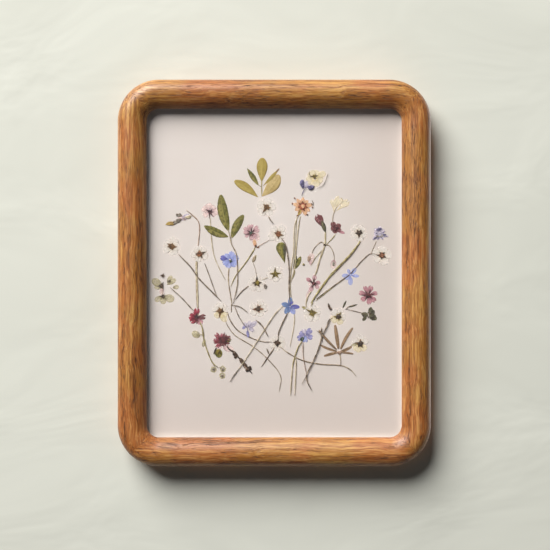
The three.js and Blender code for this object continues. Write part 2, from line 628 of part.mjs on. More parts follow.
function stemOutline([width, ...through]) {
  const curve = new THREE.SplineCurve(through.map(([x, y]) => new THREE.Vector2(x, y)));
  const count = STEM_STEPS * (through.length - 1);
  const left = [];
  const right = [];
  for (let i = 0; i <= count; i++) {
    const middle = curve.getPoint(i / count);
    const tangent = curve.getTangent(i / count);
    const across = new THREE.Vector2(-tangent.y, tangent.x).multiplyScalar(width / 2);
    left.push(middle.clone().add(across));
    right.unshift(middle.clone().sub(across));
  }
  return new THREE.Shape([...left, ...right]);
}

function leafOutline([x0, y0, x1, y1, width]) {
  const middle = new THREE.Vector2((x0 + x1) / 2, (y0 + y1) / 2);
  const across = new THREE.Vector2(y0 - y1, x1 - x0).setLength(width);
  const outline = new THREE.Shape();
  outline.moveTo(x0, y0);
  outline.quadraticCurveTo(middle.x + across.x, middle.y + across.y, x1, y1);
  outline.quadraticCurveTo(middle.x - across.x, middle.y - across.y, x0, y0);
  return outline;
}

// Five blunt petals, drawn as a ten-sided star.
function flowerOutline([x, y, radius]) {
  const corners = [];
  for (let i = 0; i < 10; i++) {
    const angle = (i * Math.PI) / 5;
    const reach = i % 2 === 0 ? radius * PETAL_NOTCH : radius;
    corners.push(new THREE.Vector2(x + reach * Math.sin(angle), y - reach * Math.cos(angle)));
  }
  return new THREE.Shape(corners);
}

for (const { name, layer, color, stems, leaves, flowers } of SPRIGS) {
  const outlines = [
    ...stems.map(stemOutline), ...leaves.map(leafOutline), ...flowers.map(flowerOutline),
  ];
  const plate = join(outlines.map((outline) => blank(outline, PLATE_THICKNESS, 3)));
  add(name, plate, { color }, { z: FLOWER_GAP_Z + layer * LAYER_PITCH });
}

export default part;
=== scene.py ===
"""A small oak wall frame that holds a card of pressed flowers between two panes, round its CAD.

The frame's axes: x to the right, y towards the wall, z up, origin on the wall plane behind the
middle of the frame. Sizes below are in millimetres, and Blender's own units are metres.
"""

import math
import random

import bmesh
import bpy
from mathutils import Matrix, Vector


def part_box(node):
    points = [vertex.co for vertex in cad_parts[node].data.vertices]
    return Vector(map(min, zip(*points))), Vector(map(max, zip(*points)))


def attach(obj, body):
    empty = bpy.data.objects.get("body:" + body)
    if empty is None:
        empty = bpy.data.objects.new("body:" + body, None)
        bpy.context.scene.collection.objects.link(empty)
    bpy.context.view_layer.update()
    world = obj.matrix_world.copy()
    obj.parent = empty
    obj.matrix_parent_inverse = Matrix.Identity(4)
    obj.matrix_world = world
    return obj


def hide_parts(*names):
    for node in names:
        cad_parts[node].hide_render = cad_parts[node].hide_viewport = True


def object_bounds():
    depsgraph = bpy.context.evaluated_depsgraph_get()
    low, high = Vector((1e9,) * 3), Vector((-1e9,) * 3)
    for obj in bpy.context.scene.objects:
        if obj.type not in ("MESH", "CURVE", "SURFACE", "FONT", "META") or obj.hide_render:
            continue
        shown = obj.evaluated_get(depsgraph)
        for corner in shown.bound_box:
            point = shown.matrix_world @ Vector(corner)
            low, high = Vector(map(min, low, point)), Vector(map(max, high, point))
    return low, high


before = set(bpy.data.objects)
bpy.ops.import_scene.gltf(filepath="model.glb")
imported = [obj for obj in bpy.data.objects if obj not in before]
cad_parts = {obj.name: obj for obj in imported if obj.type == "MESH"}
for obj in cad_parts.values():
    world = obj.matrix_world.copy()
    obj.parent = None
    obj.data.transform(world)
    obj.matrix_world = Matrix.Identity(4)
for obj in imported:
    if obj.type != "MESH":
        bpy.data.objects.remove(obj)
cad_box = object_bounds()
scene = bpy.context.scene
MM = 0.001

# ---------------------------------------------------------------- driving dimensions

OUTER_WIDTH = (cad_box[1].x - cad_box[0].x) / MM
OUTER_HEIGHT = (cad_box[1].z - cad_box[0].z) / MM
STAND_OFF = 3.5                 # wall to the back of the mouldings
FRAME_DEPTH = -cad_box[0].y / MM - STAND_OFF
FACE_WIDTH = 19
OUTER_CORNER = 27
CROWN_OFFSET = 8.5              # crown of the moulding, from its outer edge
OUTER_ROUND = 8                 # height of the elliptic round on the outer side
SIGHT_DROP = 6.7                # fall of the circular round on the sight side, crown to lip
BACK_CHAMFER = 0.6
SIGHT_LAND = 0.5
REBATE_WIDTH = 6
MITRE_GAP = 0.03
SCREW_INSET = 6.5               # screws, from the outer edge
SIDE_BUTTON_Z = 72
RING_Z = 42
KEY_REACH = 22.6                # mitre keys, from the corner's centre
KEY_HEIGHT = 5
KEY_SLOT = (12.6, 4.2, 2.2)
PILOT = (3.4, 9.6, 1)           # diameter, depth, and depth of the drill's point

HAIRLINE = 0.05                 # running clearance behind the mouldings, and between fittings
BUTTON_THICKNESS = 1
KNUCKLE_BORE = 1.9
STRAP_THICKNESS = 0.7
SCREW_OFFSET = 6.8              # a hanger's screw, from its knuckle
RING_WIRE = 1.6
FIXING_HOLE = 1.7               # radius of the hole in a button or strap
EASED_STEPS = 3                 # facets across an eased edge

SHEET = 0.04                    # thickness of a pressed petal or leaf
BLADE = "blade"                 # the mesh attribute that Graph.blade reads
FIRST_SEED = 100


# ---------------------------------------------------------------- node graphs

def rgb(red, green, blue):
    """A colour as it looks on a screen, 0 to 255, as Blender's linear one."""
    def linear(value):
        share = value / 255
        return share / 12.92 if share <= 0.04045 else ((share + 0.055) / 1.055) ** 2.4
    return (linear(red), linear(green), linear(blue), 1.0)


class Graph:
    """The node graph of one material, round its Principled shader."""

    def __init__(self, name, **constants):
        self.material = bpy.data.materials.new(name)
        self.material.use_nodes = True
        self.tree = self.material.node_tree
        self.shader = self.tree.nodes["Principled BSDF"]
        for socket, value in constants.items():
            title = socket.replace("_", " ").title().replace("Ior", "IOR")
            self.shader.inputs[title].default_value = value

    def put(self, socket, value):
        if isinstance(value, bpy.types.NodeSocket):
            self.tree.links.new(value, socket)
        else:
            socket.default_value = value

    def node(self, kind, inputs, **settings):
        made = self.tree.nodes.new("ShaderNode" + kind)
        for setting, value in settings.items():
            setattr(made, setting, value)
        for socket, value in inputs.items():
            self.put(made.inputs[socket], value)
        return made.outputs

    def place(self):
        return self.node("TexCoord", {})["Object"]

    def blade(self):
        """Where a point of a pressed part lies: -1 to 1 across it, how far along, and the part's
        number."""
        return self.split(self.node("Attribute", {}, attribute_name=BLADE)["Vector"])

    def stretch(self, vector, scale, shift=(0, 0, 0)):
        return self.node("Mapping", {"Vector": vector, "Scale": scale, "Location": shift})["Vector"]

    def noise(self, vector, scale=1.0, detail=2.0, rough=0.5, distortion=0.0):
        inputs = {"Vector": vector, "Scale": scale, "Detail": detail, "Roughness": rough,
                  "Distortion": distortion}
        return self.node("TexNoise", inputs)["Fac"]

    def split(self, vector):
        return self.node("SeparateXYZ", {0: vector})

    def join(self, x, y, z):
        return self.node("CombineXYZ", {0: x, 1: y, 2: z})[0]

    def math(self, operation, a, b=0.0):
        return self.node("Math", {0: a, 1: b}, operation=operation)[0]

    def band(self, value, low, high, start=0.0, end=1.0):
        """start below low, end above high, and a smooth step between them."""
        inputs = {"Value": value, "From Min": low, "From Max": high, "To Min": start, "To Max": end}
        return self.node("MapRange", inputs, interpolation_type="SMOOTHSTEP")["Result"]

    def blend(self, share, a, b):
        return self.node("Mix", {0: share, 6: a, 7: b}, data_type="RGBA")[2]

    def surface(self, shader):
        """Puts a shader in the place of the Principled one."""
        self.tree.links.new(shader, self.tree.nodes["Material Output"].inputs["Surface"])

    def finish(self, colour, roughness, height, distance):
        """The looks of the Principled shader; distance is how deep the relief of height goes, in
        metres."""
        relief = self.node("Bump", {"Height": height, "Distance": distance, "Strength": 1.0})[0]
        self.put(self.shader.inputs["Base Color"], colour)
        self.put(self.shader.inputs["Roughness"], roughness)
        self.put(self.shader.inputs["Normal"], relief)
        return self.material


# ---------------------------------------------------------------- finishes of the frame

def stained_oak(name, along, shift):
    """Open-pored oak, stained a warm brown and lacquered satin. along is the grain's axis, 0 or
    2, and shift keeps one member's figure from that of the next."""
    g = Graph(name, coat_weight=0.22, coat_roughness=0.34)
    place = g.place()
    wander = g.noise(place, 26, 2)
    drift = g.math("MULTIPLY", g.math("SUBTRACT", wander, 0.5), 0.007)
    bent = g.node("VectorMath", {0: place, 1: g.join(drift, drift, drift)}, operation="ADD")[0]

    def lengthwise(across_size, length):
        """Coordinates for figure of a size in millimetres, drawn out along the grain."""
        scale = [1 / (across_size * MM)] * 3
        scale[along] = 1 / (length * MM)
        return g.stretch(bent, scale, shift)

    bands = g.noise(lengthwise(3.0, 70), 1, 2, 0.5)
    streaks = g.noise(lengthwise(1.1, 26), 1, 3, 0.62)
    threads = g.noise(lengthwise(0.45, 12), 1, 2, 0.6)
    pores = g.band(g.noise(lengthwise(0.6, 7.5), 1, 1.5, 0.55), 0.56, 0.66)
    crowd = g.band(bands, 0.4, 0.6, 0.3, 1)
    pore = g.math("MULTIPLY", pores, crowd)
    tone = g.math("ADD", g.math("MULTIPLY", bands, 0.5), g.math("MULTIPLY", streaks, 0.5))
    hue = g.band(g.noise(place, 34, 2), 0.42, 0.6)
    middle = g.blend(hue, rgb(158, 103, 43), rgb(158, 92, 40))
    light = g.blend(hue, rgb(192, 142, 76), rgb(192, 134, 76))
    colour = g.blend(g.band(tone, 0.36, 0.5), light, middle)
    colour = g.blend(g.band(tone, 0.51, 0.65), colour, rgb(106, 58, 20))
    colour = g.blend(g.band(threads, 0.5, 0.68, 0, 0.5), colour, rgb(94, 50, 16))
    colour = g.blend(g.band(threads, 0.3, 0.46, 0.4, 0), colour, rgb(206, 160, 104))
    colour = g.blend(g.math("MULTIPLY", pore, 0.75), colour, rgb(64, 30, 8))
    roughness = g.math("ADD", g.band(tone, 0.3, 0.7, 0.4, 0.5), g.math("MULTIPLY", pore, 0.25))
    height = g.math("SUBTRACT", g.math("MULTIPLY", streaks, 0.35), pore)
    return g.finish(colour, roughness, height, 0.00016)


def key_wood():
    g = Graph("key_wood")
    grain = g.noise(g.stretch(g.place(), (900, 900, 120)), 1, 3)
    return g.finish(g.blend(grain, rgb(214, 182, 134), rgb(176, 138, 92)), 0.75, grain, 0.00005)


def pane_glass():
    """Clear float glass that lets the lamps through to what lies behind it."""
    g = Graph("pane_glass", transmission_weight=1.0, ior=1.5, roughness=0.0)
    g.put(g.shader.inputs["Base Color"], (0.985, 0.995, 0.988, 1))
    path = g.node("LightPath", {})
    clear = g.node("BsdfTransparent", {"Color": (0.96, 0.97, 0.965, 1)})[0]
    through = g.math("MAXIMUM", path["Is Shadow Ray"], path["Is Diffuse Ray"])
    g.surface(g.node("MixShader", {0: through, 1: g.shader.outputs[0], 2: clear})[0])
    return g.material


def paper(name, light, shade, painted_shade_tone=None):
    """Matt card: soft fibres and a faint unevenness of tone. The third colour, if given, is painted
    shade and painted warm bounce light, darker and warmer towards its right and foot."""
    g = Graph(name)
    place = g.place()
    fibres = g.noise(g.stretch(place, (1500, 1500, 900)), 1, 4, 0.6, 0.6)
    clouds = g.noise(place, 35, 3)
    share = g.math("ADD", g.math("MULTIPLY", clouds, 0.7), g.math("MULTIPLY", fibres, 0.3))
    colour = g.blend(g.band(share, 0.3, 0.7), light, shade)
    # painted shade: a darker, warmer tone blended in towards the card's right and foot
    if painted_shade_tone:
        x, _, z = g.split(place)
        right, foot = (0.02, 0.085), (-0.11, -0.02)     # metres, where the painted shade begins and ends
        painted_shade_share = g.math("MAXIMUM", g.band(x, *right), g.band(z, *foot, 1, 0))
        colour = g.blend(painted_shade_share, colour, painted_shade_tone)
    return g.finish(colour, g.band(fibres, 0.2, 0.8, 0.92, 0.84), fibres, 0.00003)


def hardboard():
    """Smooth brown hardboard with its pressed wood fibres."""
    g = Graph("hardboard")
    place = g.place()
    fibres = g.noise(g.stretch(place, (700, 700, 420)), 1, 6, 0.7, 1.4)
    flecks = g.band(g.noise(place, 1300, 3, 0.6), 0.6, 0.7)
    colour = g.blend(g.band(fibres, 0.35, 0.65), rgb(140, 98, 62), rgb(106, 70, 42))
    colour = g.blend(g.math("MULTIPLY", flecks, 0.6), colour, rgb(184, 146, 104))
    colour = g.blend(g.band(g.noise(place, 25, 2), 0.4, 0.7, 0, 0.35), colour, rgb(92, 62, 40))
    return g.finish(colour, g.band(fibres, 0.3, 0.7, 0.62, 0.8), fibres, 0.00006)


def drawn_metal(name, bright, dull, grain):
    """Stamped or drawn metal: fine rolling lines, a little tarnish, and worn, brighter spots."""
    g = Graph(name, metallic=1.0)
    place = g.place()
    lines = g.noise(g.stretch(place, grain), 1, 2)
    tarnish = g.noise(place, 420, 4, 0.65)
    worn = g.band(g.noise(place, 160, 2), 0.5, 0.7)
    colour = g.blend(g.band(tarnish, 0.35, 0.7), bright, dull)
    colour = g.blend(g.math("MULTIPLY", worn, 0.4), colour, bright)
    rough = g.math("ADD", g.band(tarnish, 0.3, 0.7, 0.22, 0.42), g.math("MULTIPLY", lines, 0.1))
    return g.finish(colour, rough, lines, 0.00001)


def felt():
    g = Graph("felt", sheen_weight=0.6)
    place = g.place()
    fluff = g.noise(place, 2600, 5, 0.7, 1.5)
    colour = g.blend(fluff, rgb(236, 231, 220), rgb(196, 190, 178))
    return g.finish(colour, g.band(fluff, 0.2, 0.8, 0.9, 1.0), fluff, 0.00025)


# ---------------------------------------------------------------- finishes of the flowers

def petal(name, slot, tip, base, vein, body, veins=7, strength=0.5, mottle=0.2):
    """A pressed petal, as thin as tissue: fine veins fan out from its base, and body is how far
    it covers what lies under it. Each finish is a material, its slot, and whether it is a thin
    sheet."""
    g = Graph(name)
    across, along, number = g.blade()
    wave = g.noise(g.join(g.math("MULTIPLY", across, 2), g.math("MULTIPLY", along, 3), number), 1,
                   3)
    fan = g.math("ADD", g.math("MULTIPLY", across, veins / 2), g.math("MULTIPLY", wave, 0.9))
    line = g.math("ABSOLUTE", g.math("SUBTRACT", g.math("FRACT", fan), 0.5))
    thread = g.band(line, 0.02, 0.18, 1, 0)
    fade = g.math("MULTIPLY", thread, g.band(along, 0.3, 1.0, 1, 0.2))
    patches = g.noise(g.place(), 700, 3, 0.6)
    colour = g.blend(g.band(along, 0.05, 0.6), rgb(*base), rgb(*tip))
    colour = g.blend(g.band(patches, 0.45, 0.72, 0, mottle), colour, rgb(*vein))
    colour = g.blend(g.math("MULTIPLY", fade, strength), colour, rgb(*vein))
    rim = g.band(g.math("ABSOLUTE", across), 0.72, 1.0, 0, 0.25)
    colour = g.blend(rim, colour, rgb(*vein))
    cover = g.math("ADD", g.band(wave, 0.3, 0.7, body * 0.72, min(1, body * 1.2)),
                   g.math("MULTIPLY", g.math("ADD", fade, rim), 0.2))
    g.put(g.shader.inputs["Alpha"], g.math("MINIMUM", cover, 1.0))
    height = g.math("ADD", g.math("MULTIPLY", fade, 0.6), g.math("MULTIPLY", patches, 0.4))
    return g.finish(colour, g.band(patches, 0.3, 0.7, 0.7, 0.85), height, 0.00005), slot, True


def leaf(name, slot, blade, rib, shade, ribs=9, dark=0.5):
    """A pressed leaf: a midrib, side ribs that slope to the tip, one half paler, and browned
    patches."""
    g = Graph(name)
    across, along, _ = g.blade()
    off = g.math("ABSOLUTE", across)
    slope = g.math("SUBTRACT", g.math("MULTIPLY", along, ribs), g.math("MULTIPLY", off, 2.2))
    line = g.math("ABSOLUTE", g.math("SUBTRACT", g.math("FRACT", slope), 0.5))
    side = g.math("MULTIPLY", g.band(line, 0.02, 0.14, 1, 0), g.band(off, 0.55, 1, 0.7, 0.1))
    middle = g.band(off, 0.04, 0.13, 1, 0)
    patches = g.noise(g.place(), 520, 4, 0.65)
    grain = g.noise(g.place(), 2400, 2)
    paler = g.math("MULTIPLY", g.band(across, -0.1, 0.35), g.band(across, 0.5, 0.95, 1, 0))
    colour = g.blend(g.math("MULTIPLY", paler, 0.75), rgb(*blade), rgb(*rib))
    colour = g.blend(g.band(patches, 0.42, 0.6, 0, dark), colour, rgb(*shade))
    colour = g.blend(g.math("MULTIPLY", grain, 0.25), colour, rgb(*shade))
    colour = g.blend(g.math("MULTIPLY", side, 0.3), colour, rgb(*shade))
    colour = g.blend(g.math("MULTIPLY", middle, 0.6), colour, rgb(*rib))
    colour = g.blend(g.band(off, 0.78, 1.0, 0, 0.6), colour, rgb(*shade))
    height = g.math("ADD", g.math("MAXIMUM", side, middle), g.math("MULTIPLY", grain, 0.4))
    return g.finish(colour, g.band(patches, 0.3, 0.7, 0.6, 0.8), height, 0.00006), slot, True


def fibre(name, slot, light, dark):
    """A pressed stem, bud or calyx: lengthwise fibres, and stretches that dried darker."""
    g = Graph(name)
    across, along, number = g.blade()
    drawn_out = g.join(g.math("MULTIPLY", across, 1.6), g.math("MULTIPLY", along, 0.5), number)
    threads = g.noise(drawn_out, 1.5, 3)
    patches = g.noise(g.place(), 420, 3, 0.6)
    share = g.math("ADD", g.math("MULTIPLY", threads, 0.45), g.math("MULTIPLY", patches, 0.55))
    colour = g.blend(g.band(share, 0.42, 0.56), rgb(*light), rgb(*dark))
    return g.finish(colour, g.band(threads, 0.3, 0.7, 0.65, 0.85), threads, 0.00005), slot, False


FINISHES = {
    "ivory": petal("ivory_petal", "white_petal", (214, 206, 201), (214, 202, 186), (188, 170, 154),
                   0.66, 9, 0.45, 0.3),
    "cream": petal("cream_petal", "cream_petal", (216, 203, 178), (206, 188, 144), (180, 158, 120),
                   0.74, 9, 0.4),
    "blue": petal("blue_petal", "blue_petal", (160, 167, 212), (138, 145, 198), (104, 108, 172),
                  0.72, 7, 0.55, 0.3),
    "pale_blue": petal("pale_blue_petal", "blue_petal", (168, 173, 210), (140, 146, 198),
                       (106, 110, 176), 0.7, 5, 0.55, 0.3),
    "deep_blue": petal("deep_blue_petal", "blue_petal", (112, 134, 176), (84, 102, 150),
                       (62, 70, 118), 0.86, 7, 0.6, 0.4),
    "indigo": petal("indigo_petal", "violet_petal", (100, 98, 168), (78, 78, 144), (56, 56, 112),
                    0.86, 7, 0.5),
    "violet": petal("violet_petal", "violet_petal", (152, 146, 190), (126, 120, 164), (80, 78, 122),
                    0.8, 5, 0.7, 0.45),
    "lilac": petal("lilac_petal", "lilac_petal", (200, 190, 204), (164, 152, 172), (90, 82, 112),
                   0.6, 7, 0.8, 0.3),
    "rose": petal("rose_petal", "lilac_petal", (222, 198, 194), (190, 154, 158), (118, 80, 90),
                  0.52, 7, 0.75, 0.3),
    "mauve": petal("mauve_petal", "plum_petal", (202, 162, 166), (160, 116, 124), (98, 66, 74),
                   0.78, 5, 0.75, 0.35),
    "pink": petal("pink_petal", "plum_petal", (192, 138, 146), (128, 76, 88), (84, 38, 50), 0.92, 5,
                  0.8, 0.4),
    "crimson": petal("crimson_petal", "crimson_flower", (156, 50, 68), (92, 26, 38), (56, 18, 24),
                     0.97, 7, 0.75, 0.6),
    "plum": petal("plum_petal", "plum_petal", (116, 64, 66), (80, 40, 42), (50, 26, 28), 0.92, 7,
                  0.6, 0.4),
    "peach": petal("peach_petal", "peach_petal", (218, 176, 138), (192, 128, 94), (160, 92, 66),
                   0.8, 7, 0.55, 0.3),
    "gold_leaf": leaf("gold_leaf", "golden_leaf", (166, 142, 68), (190, 166, 92), (132, 112, 52), 9,
                      0.4),
    "rosy_gold_leaf": leaf("rosy_gold_leaf", "golden_leaf", (190, 164, 112), (206, 180, 132),
                           (156, 128, 68)),
    "green_leaf": leaf("green_leaf", "green_leaf", (118, 110, 44), (162, 146, 80), (70, 66, 22), 11,
                       0.9),
    "dull_leaf": leaf("dull_leaf", "dark_leaf", (84, 78, 56), (120, 110, 80), (48, 44, 32), 9, 0.8),
    "brown_leaf": leaf("brown_leaf", "brown_stem", (158, 124, 92), (172, 136, 104), (96, 72, 52),
                       13, 0.4),
    "sage": petal("sage_leaf", "raceme", (182, 171, 138), (140, 128, 94), (112, 98, 66), 0.58, 5,
                  0.6, 0.5),
    "brown_heart": fibre("brown_heart", "brown_stem", (116, 82, 48), (62, 40, 24)),
    "rusty_heart": fibre("rusty_heart", "brown_stem", (136, 84, 50), (78, 44, 26)),
    "olive_heart": fibre("olive_heart", "brown_stem", (132, 112, 46), (72, 58, 26)),
    "dark_heart": fibre("dark_heart", "brown_stem", (80, 58, 42), (38, 26, 20)),
    "maroon_heart": fibre("maroon_heart", "crimson_flower", (92, 42, 44), (42, 20, 24)),
    "rust_heart": fibre("rust_heart", "peach_petal", (176, 94, 64), (124, 58, 40)),
    "green_heart": fibre("green_heart", "dark_leaf", (88, 96, 84), (44, 54, 52)),
    "dark_stem": fibre("dark_stem", "brown_stem", (158, 138, 118), (78, 62, 50)),
    "brown_stem": fibre("brown_stem", "brown_stem", (182, 162, 136), (112, 92, 72)),
    "pale_stem": fibre("pale_stem", "raceme", (206, 190, 164), (166, 148, 120)),
    "olive_stem": fibre("olive_stem", "brown_stem", (182, 168, 116), (126, 110, 70)),
    "rosy_stem": fibre("rosy_stem", "brown_stem", (182, 154, 134), (138, 108, 92)),
    "gold_bud": fibre("gold_bud", "raceme", (184, 154, 84), (134, 104, 56)),
    "grey_bud": fibre("grey_bud", "raceme", (160, 150, 138), (104, 92, 84)),
    "lilac_bud": fibre("lilac_bud", "violet_petal", (116, 108, 144), (66, 60, 90)),
}


# ---------------------------------------------------------------- mesh helpers

def made_smooth(mesh, angle=32):
    """The mesh shaded smooth, but for edges that turn by more than angle degrees."""
    mesh.shade_smooth()
    mesh.set_sharp_from_angle(angle=math.radians(angle))
    return mesh


def evaluated(thing):
    """A thing's mesh with its modifiers applied; the thing itself is removed."""
    graph = bpy.context.evaluated_depsgraph_get()
    graph.update()
    mesh = bpy.data.meshes.new_from_object(thing.evaluated_get(graph))
    bpy.data.objects.remove(thing)
    return mesh


def placed(name, mesh):
    thing = bpy.data.objects.new(name, mesh)
    scene.collection.objects.link(thing)
    return thing


def from_bmesh(bm):
    bmesh.ops.recalc_face_normals(bm, faces=bm.faces)
    mesh = bpy.data.meshes.new("shape")
    bm.to_mesh(mesh)
    bm.free()
    return mesh


def box_mesh(size, matrix):
    bm = bmesh.new()
    bmesh.ops.create_cube(bm, size=1, matrix=matrix @ Matrix.Diagonal((*size, 1)))
    return from_bmesh(bm)


def revolved(profile, sides=40):
    """A turned mesh about z, from (radius, z) points whose ends lie on the axis."""
    bm = bmesh.new()
    rings = []
    for radius, z in profile:
        if radius == 0:
            rings.append([bm.verts.new((0, 0, z))])
            continue
        turn = 2 * math.pi / sides
        rings.append([bm.verts.new((radius * math.cos(i * turn), radius * math.sin(i * turn), z))
                      for i in range(sides)])
    for low, high in zip(rings, rings[1:]):
        for i in range(sides):
            j = (i + 1) % sides
            corners = [low[i % len(low)], low[j % len(low)], high[j % len(high)],
                       high[i % len(high)]]
            bm.faces.new(list(dict.fromkeys(corners)))
    return from_bmesh(bm)


def combined(mesh, others, operation="DIFFERENCE"):
    """The mesh with other closed meshes cut out of it, or joined to it by operation UNION."""
    thing = placed("combined", mesh)
    tools = []
    for other in others:
        tool = placed("tool", other)
        tools.append(tool)
        modifier = thing.modifiers.new("combine", "BOOLEAN")
        modifier.object = tool
        modifier.operation = operation
        modifier.solver = "EXACT"
    result = evaluated(thing)
    for tool in tools:
        bpy.data.objects.remove(tool)
    return result


def stamped(outlines, thickness, edge):
    """A flat plate about z = 0 with rounded edges. The first outline is its rim, the rest are
    holes."""
    curve = bpy.data.curves.new("stamping", "CURVE")
    curve.dimensions = "2D"
    curve.fill_mode = "BOTH"
    curve.extrude = thickness / 2 - edge
    curve.bevel_depth = edge
    curve.bevel_resolution = 2
    curve.offset = -edge
    for outline in outlines:
        spline = curve.splines.new("POLY")
        spline.points.add(len(outline) - 1)
        spline.use_cyclic_u = True
        for point, (x, y) in zip(spline.points, outline):
            point.co = (x, y, 0, 1)
    return made_smooth(evaluated(placed("stamping", curve)))


def arc(x, y, radius, start, end, steps):
    """Points on an arc, from one angle in degrees to another."""
    turns = [math.radians(start + (end - start) * i / steps) for i in range(steps + 1)]
    return [(x + radius * math.cos(a), y + radius * math.sin(a)) for a in turns]


def circle(x, y, radius, steps=28):
    return arc(x, y, radius, 0, 360 * (1 - 1 / steps), steps - 1)


def hung(x, z, depth, turn=0.0):
    """From a part drawn face up on a bench, in millimetres, to its place in the hung frame.
    depth is measured forwards from the back of the mouldings, and turn is seen from the front."""
    place = Matrix(((1, 0, 0, x), (0, 0, -1, -STAND_OFF - depth), (0, 1, 0, z), (0, 0, 0, 1)))
    return Matrix.Scale(MM, 4) @ place @ Matrix.Rotation(turn, 4, "Z")


def piece(name, mesh, finish, body, slot, *nodes):
    """One finished piece of the object: its finish, its body, and the CAD nodes it stands for."""
    thing = placed(name, mesh)
    mesh.materials.clear()
    mesh.materials.append(finish)
    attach(thing, body)
    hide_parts(*nodes)
    return thing


def carried(node, finish, edge=0.0):
    """A CAD node that stays: it gets its finish, and its edges are eased."""
    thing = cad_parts[node]
    thing.data.materials.clear()
    thing.data.materials.append(finish)
    if edge:
        ease = thing.modifiers.new("ease", "BEVEL")
        ease.width = edge
        ease.segments = EASED_STEPS
        ease.limit_method = "ANGLE"


# ---------------------------------------------------------------- mouldings

ROUND_STEPS = 20                # facets across each side of the round
CORNER_STEPS = 22               # facets along half a corner
OVERSHOOT = 1                   # how far a cutting tool runs past the face it enters
KEY_SLOT_RISE = 0.8             # middle of a key's slot, above the key's own height


def ellipse_arc(u, z, radius_u, radius_z, start, end):
    turns = [start + (end - start) * i / ROUND_STEPS for i in range(ROUND_STEPS + 1)]
    return [(u + radius_u * math.cos(a), z + radius_z * math.sin(a)) for a in turns]


def moulding_section():
    """The section before the rebate: inwards from the outer edge, and forwards from the back."""
    outer = ellipse_arc(CROWN_OFFSET, FRAME_DEPTH - OUTER_ROUND, CROWN_OFFSET, OUTER_ROUND,
                        math.pi, math.pi / 2)
    run = FACE_WIDTH - CROWN_OFFSET
    radius = (run ** 2 + SIGHT_DROP ** 2) / (2 * SIGHT_DROP)
    sight = ellipse_arc(CROWN_OFFSET, FRAME_DEPTH - radius, radius, radius, math.pi / 2,
                        math.acos(run / radius))
    return [(BACK_CHAMFER, 0), (0, BACK_CHAMFER), *outer, *sight[1:], (FACE_WIDTH, 0)]


def member_stations(length, reach):
    """Half a corner, the straight run, half a corner: (x, y, outward direction) of the bottom
    member."""
    stations = []
    for side in (-1, 1):
        for i in range(CORNER_STEPS + 1):
            share = 1 - i / CORNER_STEPS if side < 0 else i / CORNER_STEPS
            turn = side * share * math.pi / 4
            trim = -side * MITRE_GAP / 2 if share == 1 else 0
            x = side * (length / 2 - OUTER_CORNER) + trim * math.cos(turn)
            y = OUTER_CORNER - reach + trim * math.sin(turn)
            stations.append((x, y, math.sin(turn), -math.cos(turn)))
    return stations


def moulding(length, reach, turn, pilots):
    """One member: swept along its straight run and half of each corner, then cut for the rebate,
    the mitre keys and the pilot holes, whose places along it are pilots."""
    section = moulding_section()
    bm = bmesh.new()
    rings = []
    for x, y, out_x, out_y in member_stations(length, reach):
        rings.append([bm.verts.new((x + (OUTER_CORNER - u) * out_x, y + (OUTER_CORNER - u) * out_y,
                                    z)) for u, z in section])
    for near, far in zip(rings, rings[1:]):
        for i in range(len(section)):
            j = (i + 1) % len(section)
            bm.faces.new((near[i], near[j], far[j], far[i]))
    bm.faces.new(rings[0])
    bm.faces.new(rings[-1])
    blank = from_bmesh(bm)
    wall = FACE_WIDTH - REBATE_WIDTH
    rebate_y = wall + FACE_WIDTH - reach
    rebate_top = FRAME_DEPTH - SIGHT_DROP - SIGHT_LAND
    rebate = box_mesh((length - 2 * wall, 2 * FACE_WIDTH, rebate_top + OVERSHOOT),
                      Matrix.Translation((0, rebate_y, (rebate_top - OVERSHOOT) / 2)))
    cutters = [rebate]
    diagonal = KEY_REACH * math.sqrt(0.5)
    for side in (-1, 1):
        place = Matrix.Translation((side * (length / 2 - OUTER_CORNER + diagonal),
                                    OUTER_CORNER - reach - diagonal, KEY_HEIGHT + KEY_SLOT_RISE))
        cutters.append(box_mesh(KEY_SLOT, place @ Matrix.Rotation(side * math.pi / 4, 4, "Z")))
    for x in pilots:
        drill = revolved([(0, -OVERSHOOT), (PILOT[0] / 2, -OVERSHOOT), (PILOT[0] / 2, PILOT[1]),
                          (0, PILOT[1] + PILOT[2])], 20)
        drill.transform(Matrix.Translation((x, SCREW_INSET - reach, 0)))
        cutters.append(drill)
    mesh = combined(blank, cutters)
    mesh.transform(hung(0, 0, 0, turn))
    return made_smooth(mesh, 28)


def make_mouldings():
    rail = (OUTER_WIDTH, OUTER_HEIGHT / 2)
    stile = (OUTER_HEIGHT, OUTER_WIDTH / 2)
    members = [
        ("rail_bottom", *rail, 0, [0], 0, (3.1, 7.7, 1.3)),
        ("rail_top", *rail, math.pi, [0], 0, (12.7, 2.9, 31.4)),
        ("stile_right", *stile, math.pi / 2, [-SIDE_BUTTON_Z, RING_Z, SIDE_BUTTON_Z], 2,
         (5.5, 41.2, 8.8)),
        ("stile_left", *stile, -math.pi / 2, [-SIDE_BUTTON_Z, -RING_Z, SIDE_BUTTON_Z], 2,
         (23.9, 6.6, 17.2)),
    ]
    for name, length, reach, turn, pilots, along, shift in members:
        finish = stained_oak(f"{name}_oak", along, shift)
        mesh = moulding(length, reach, turn, pilots)
        piece(f"{name}_moulding", mesh, finish, "frame", "stained_oak", name)


# ---------------------------------------------------------------- fittings behind

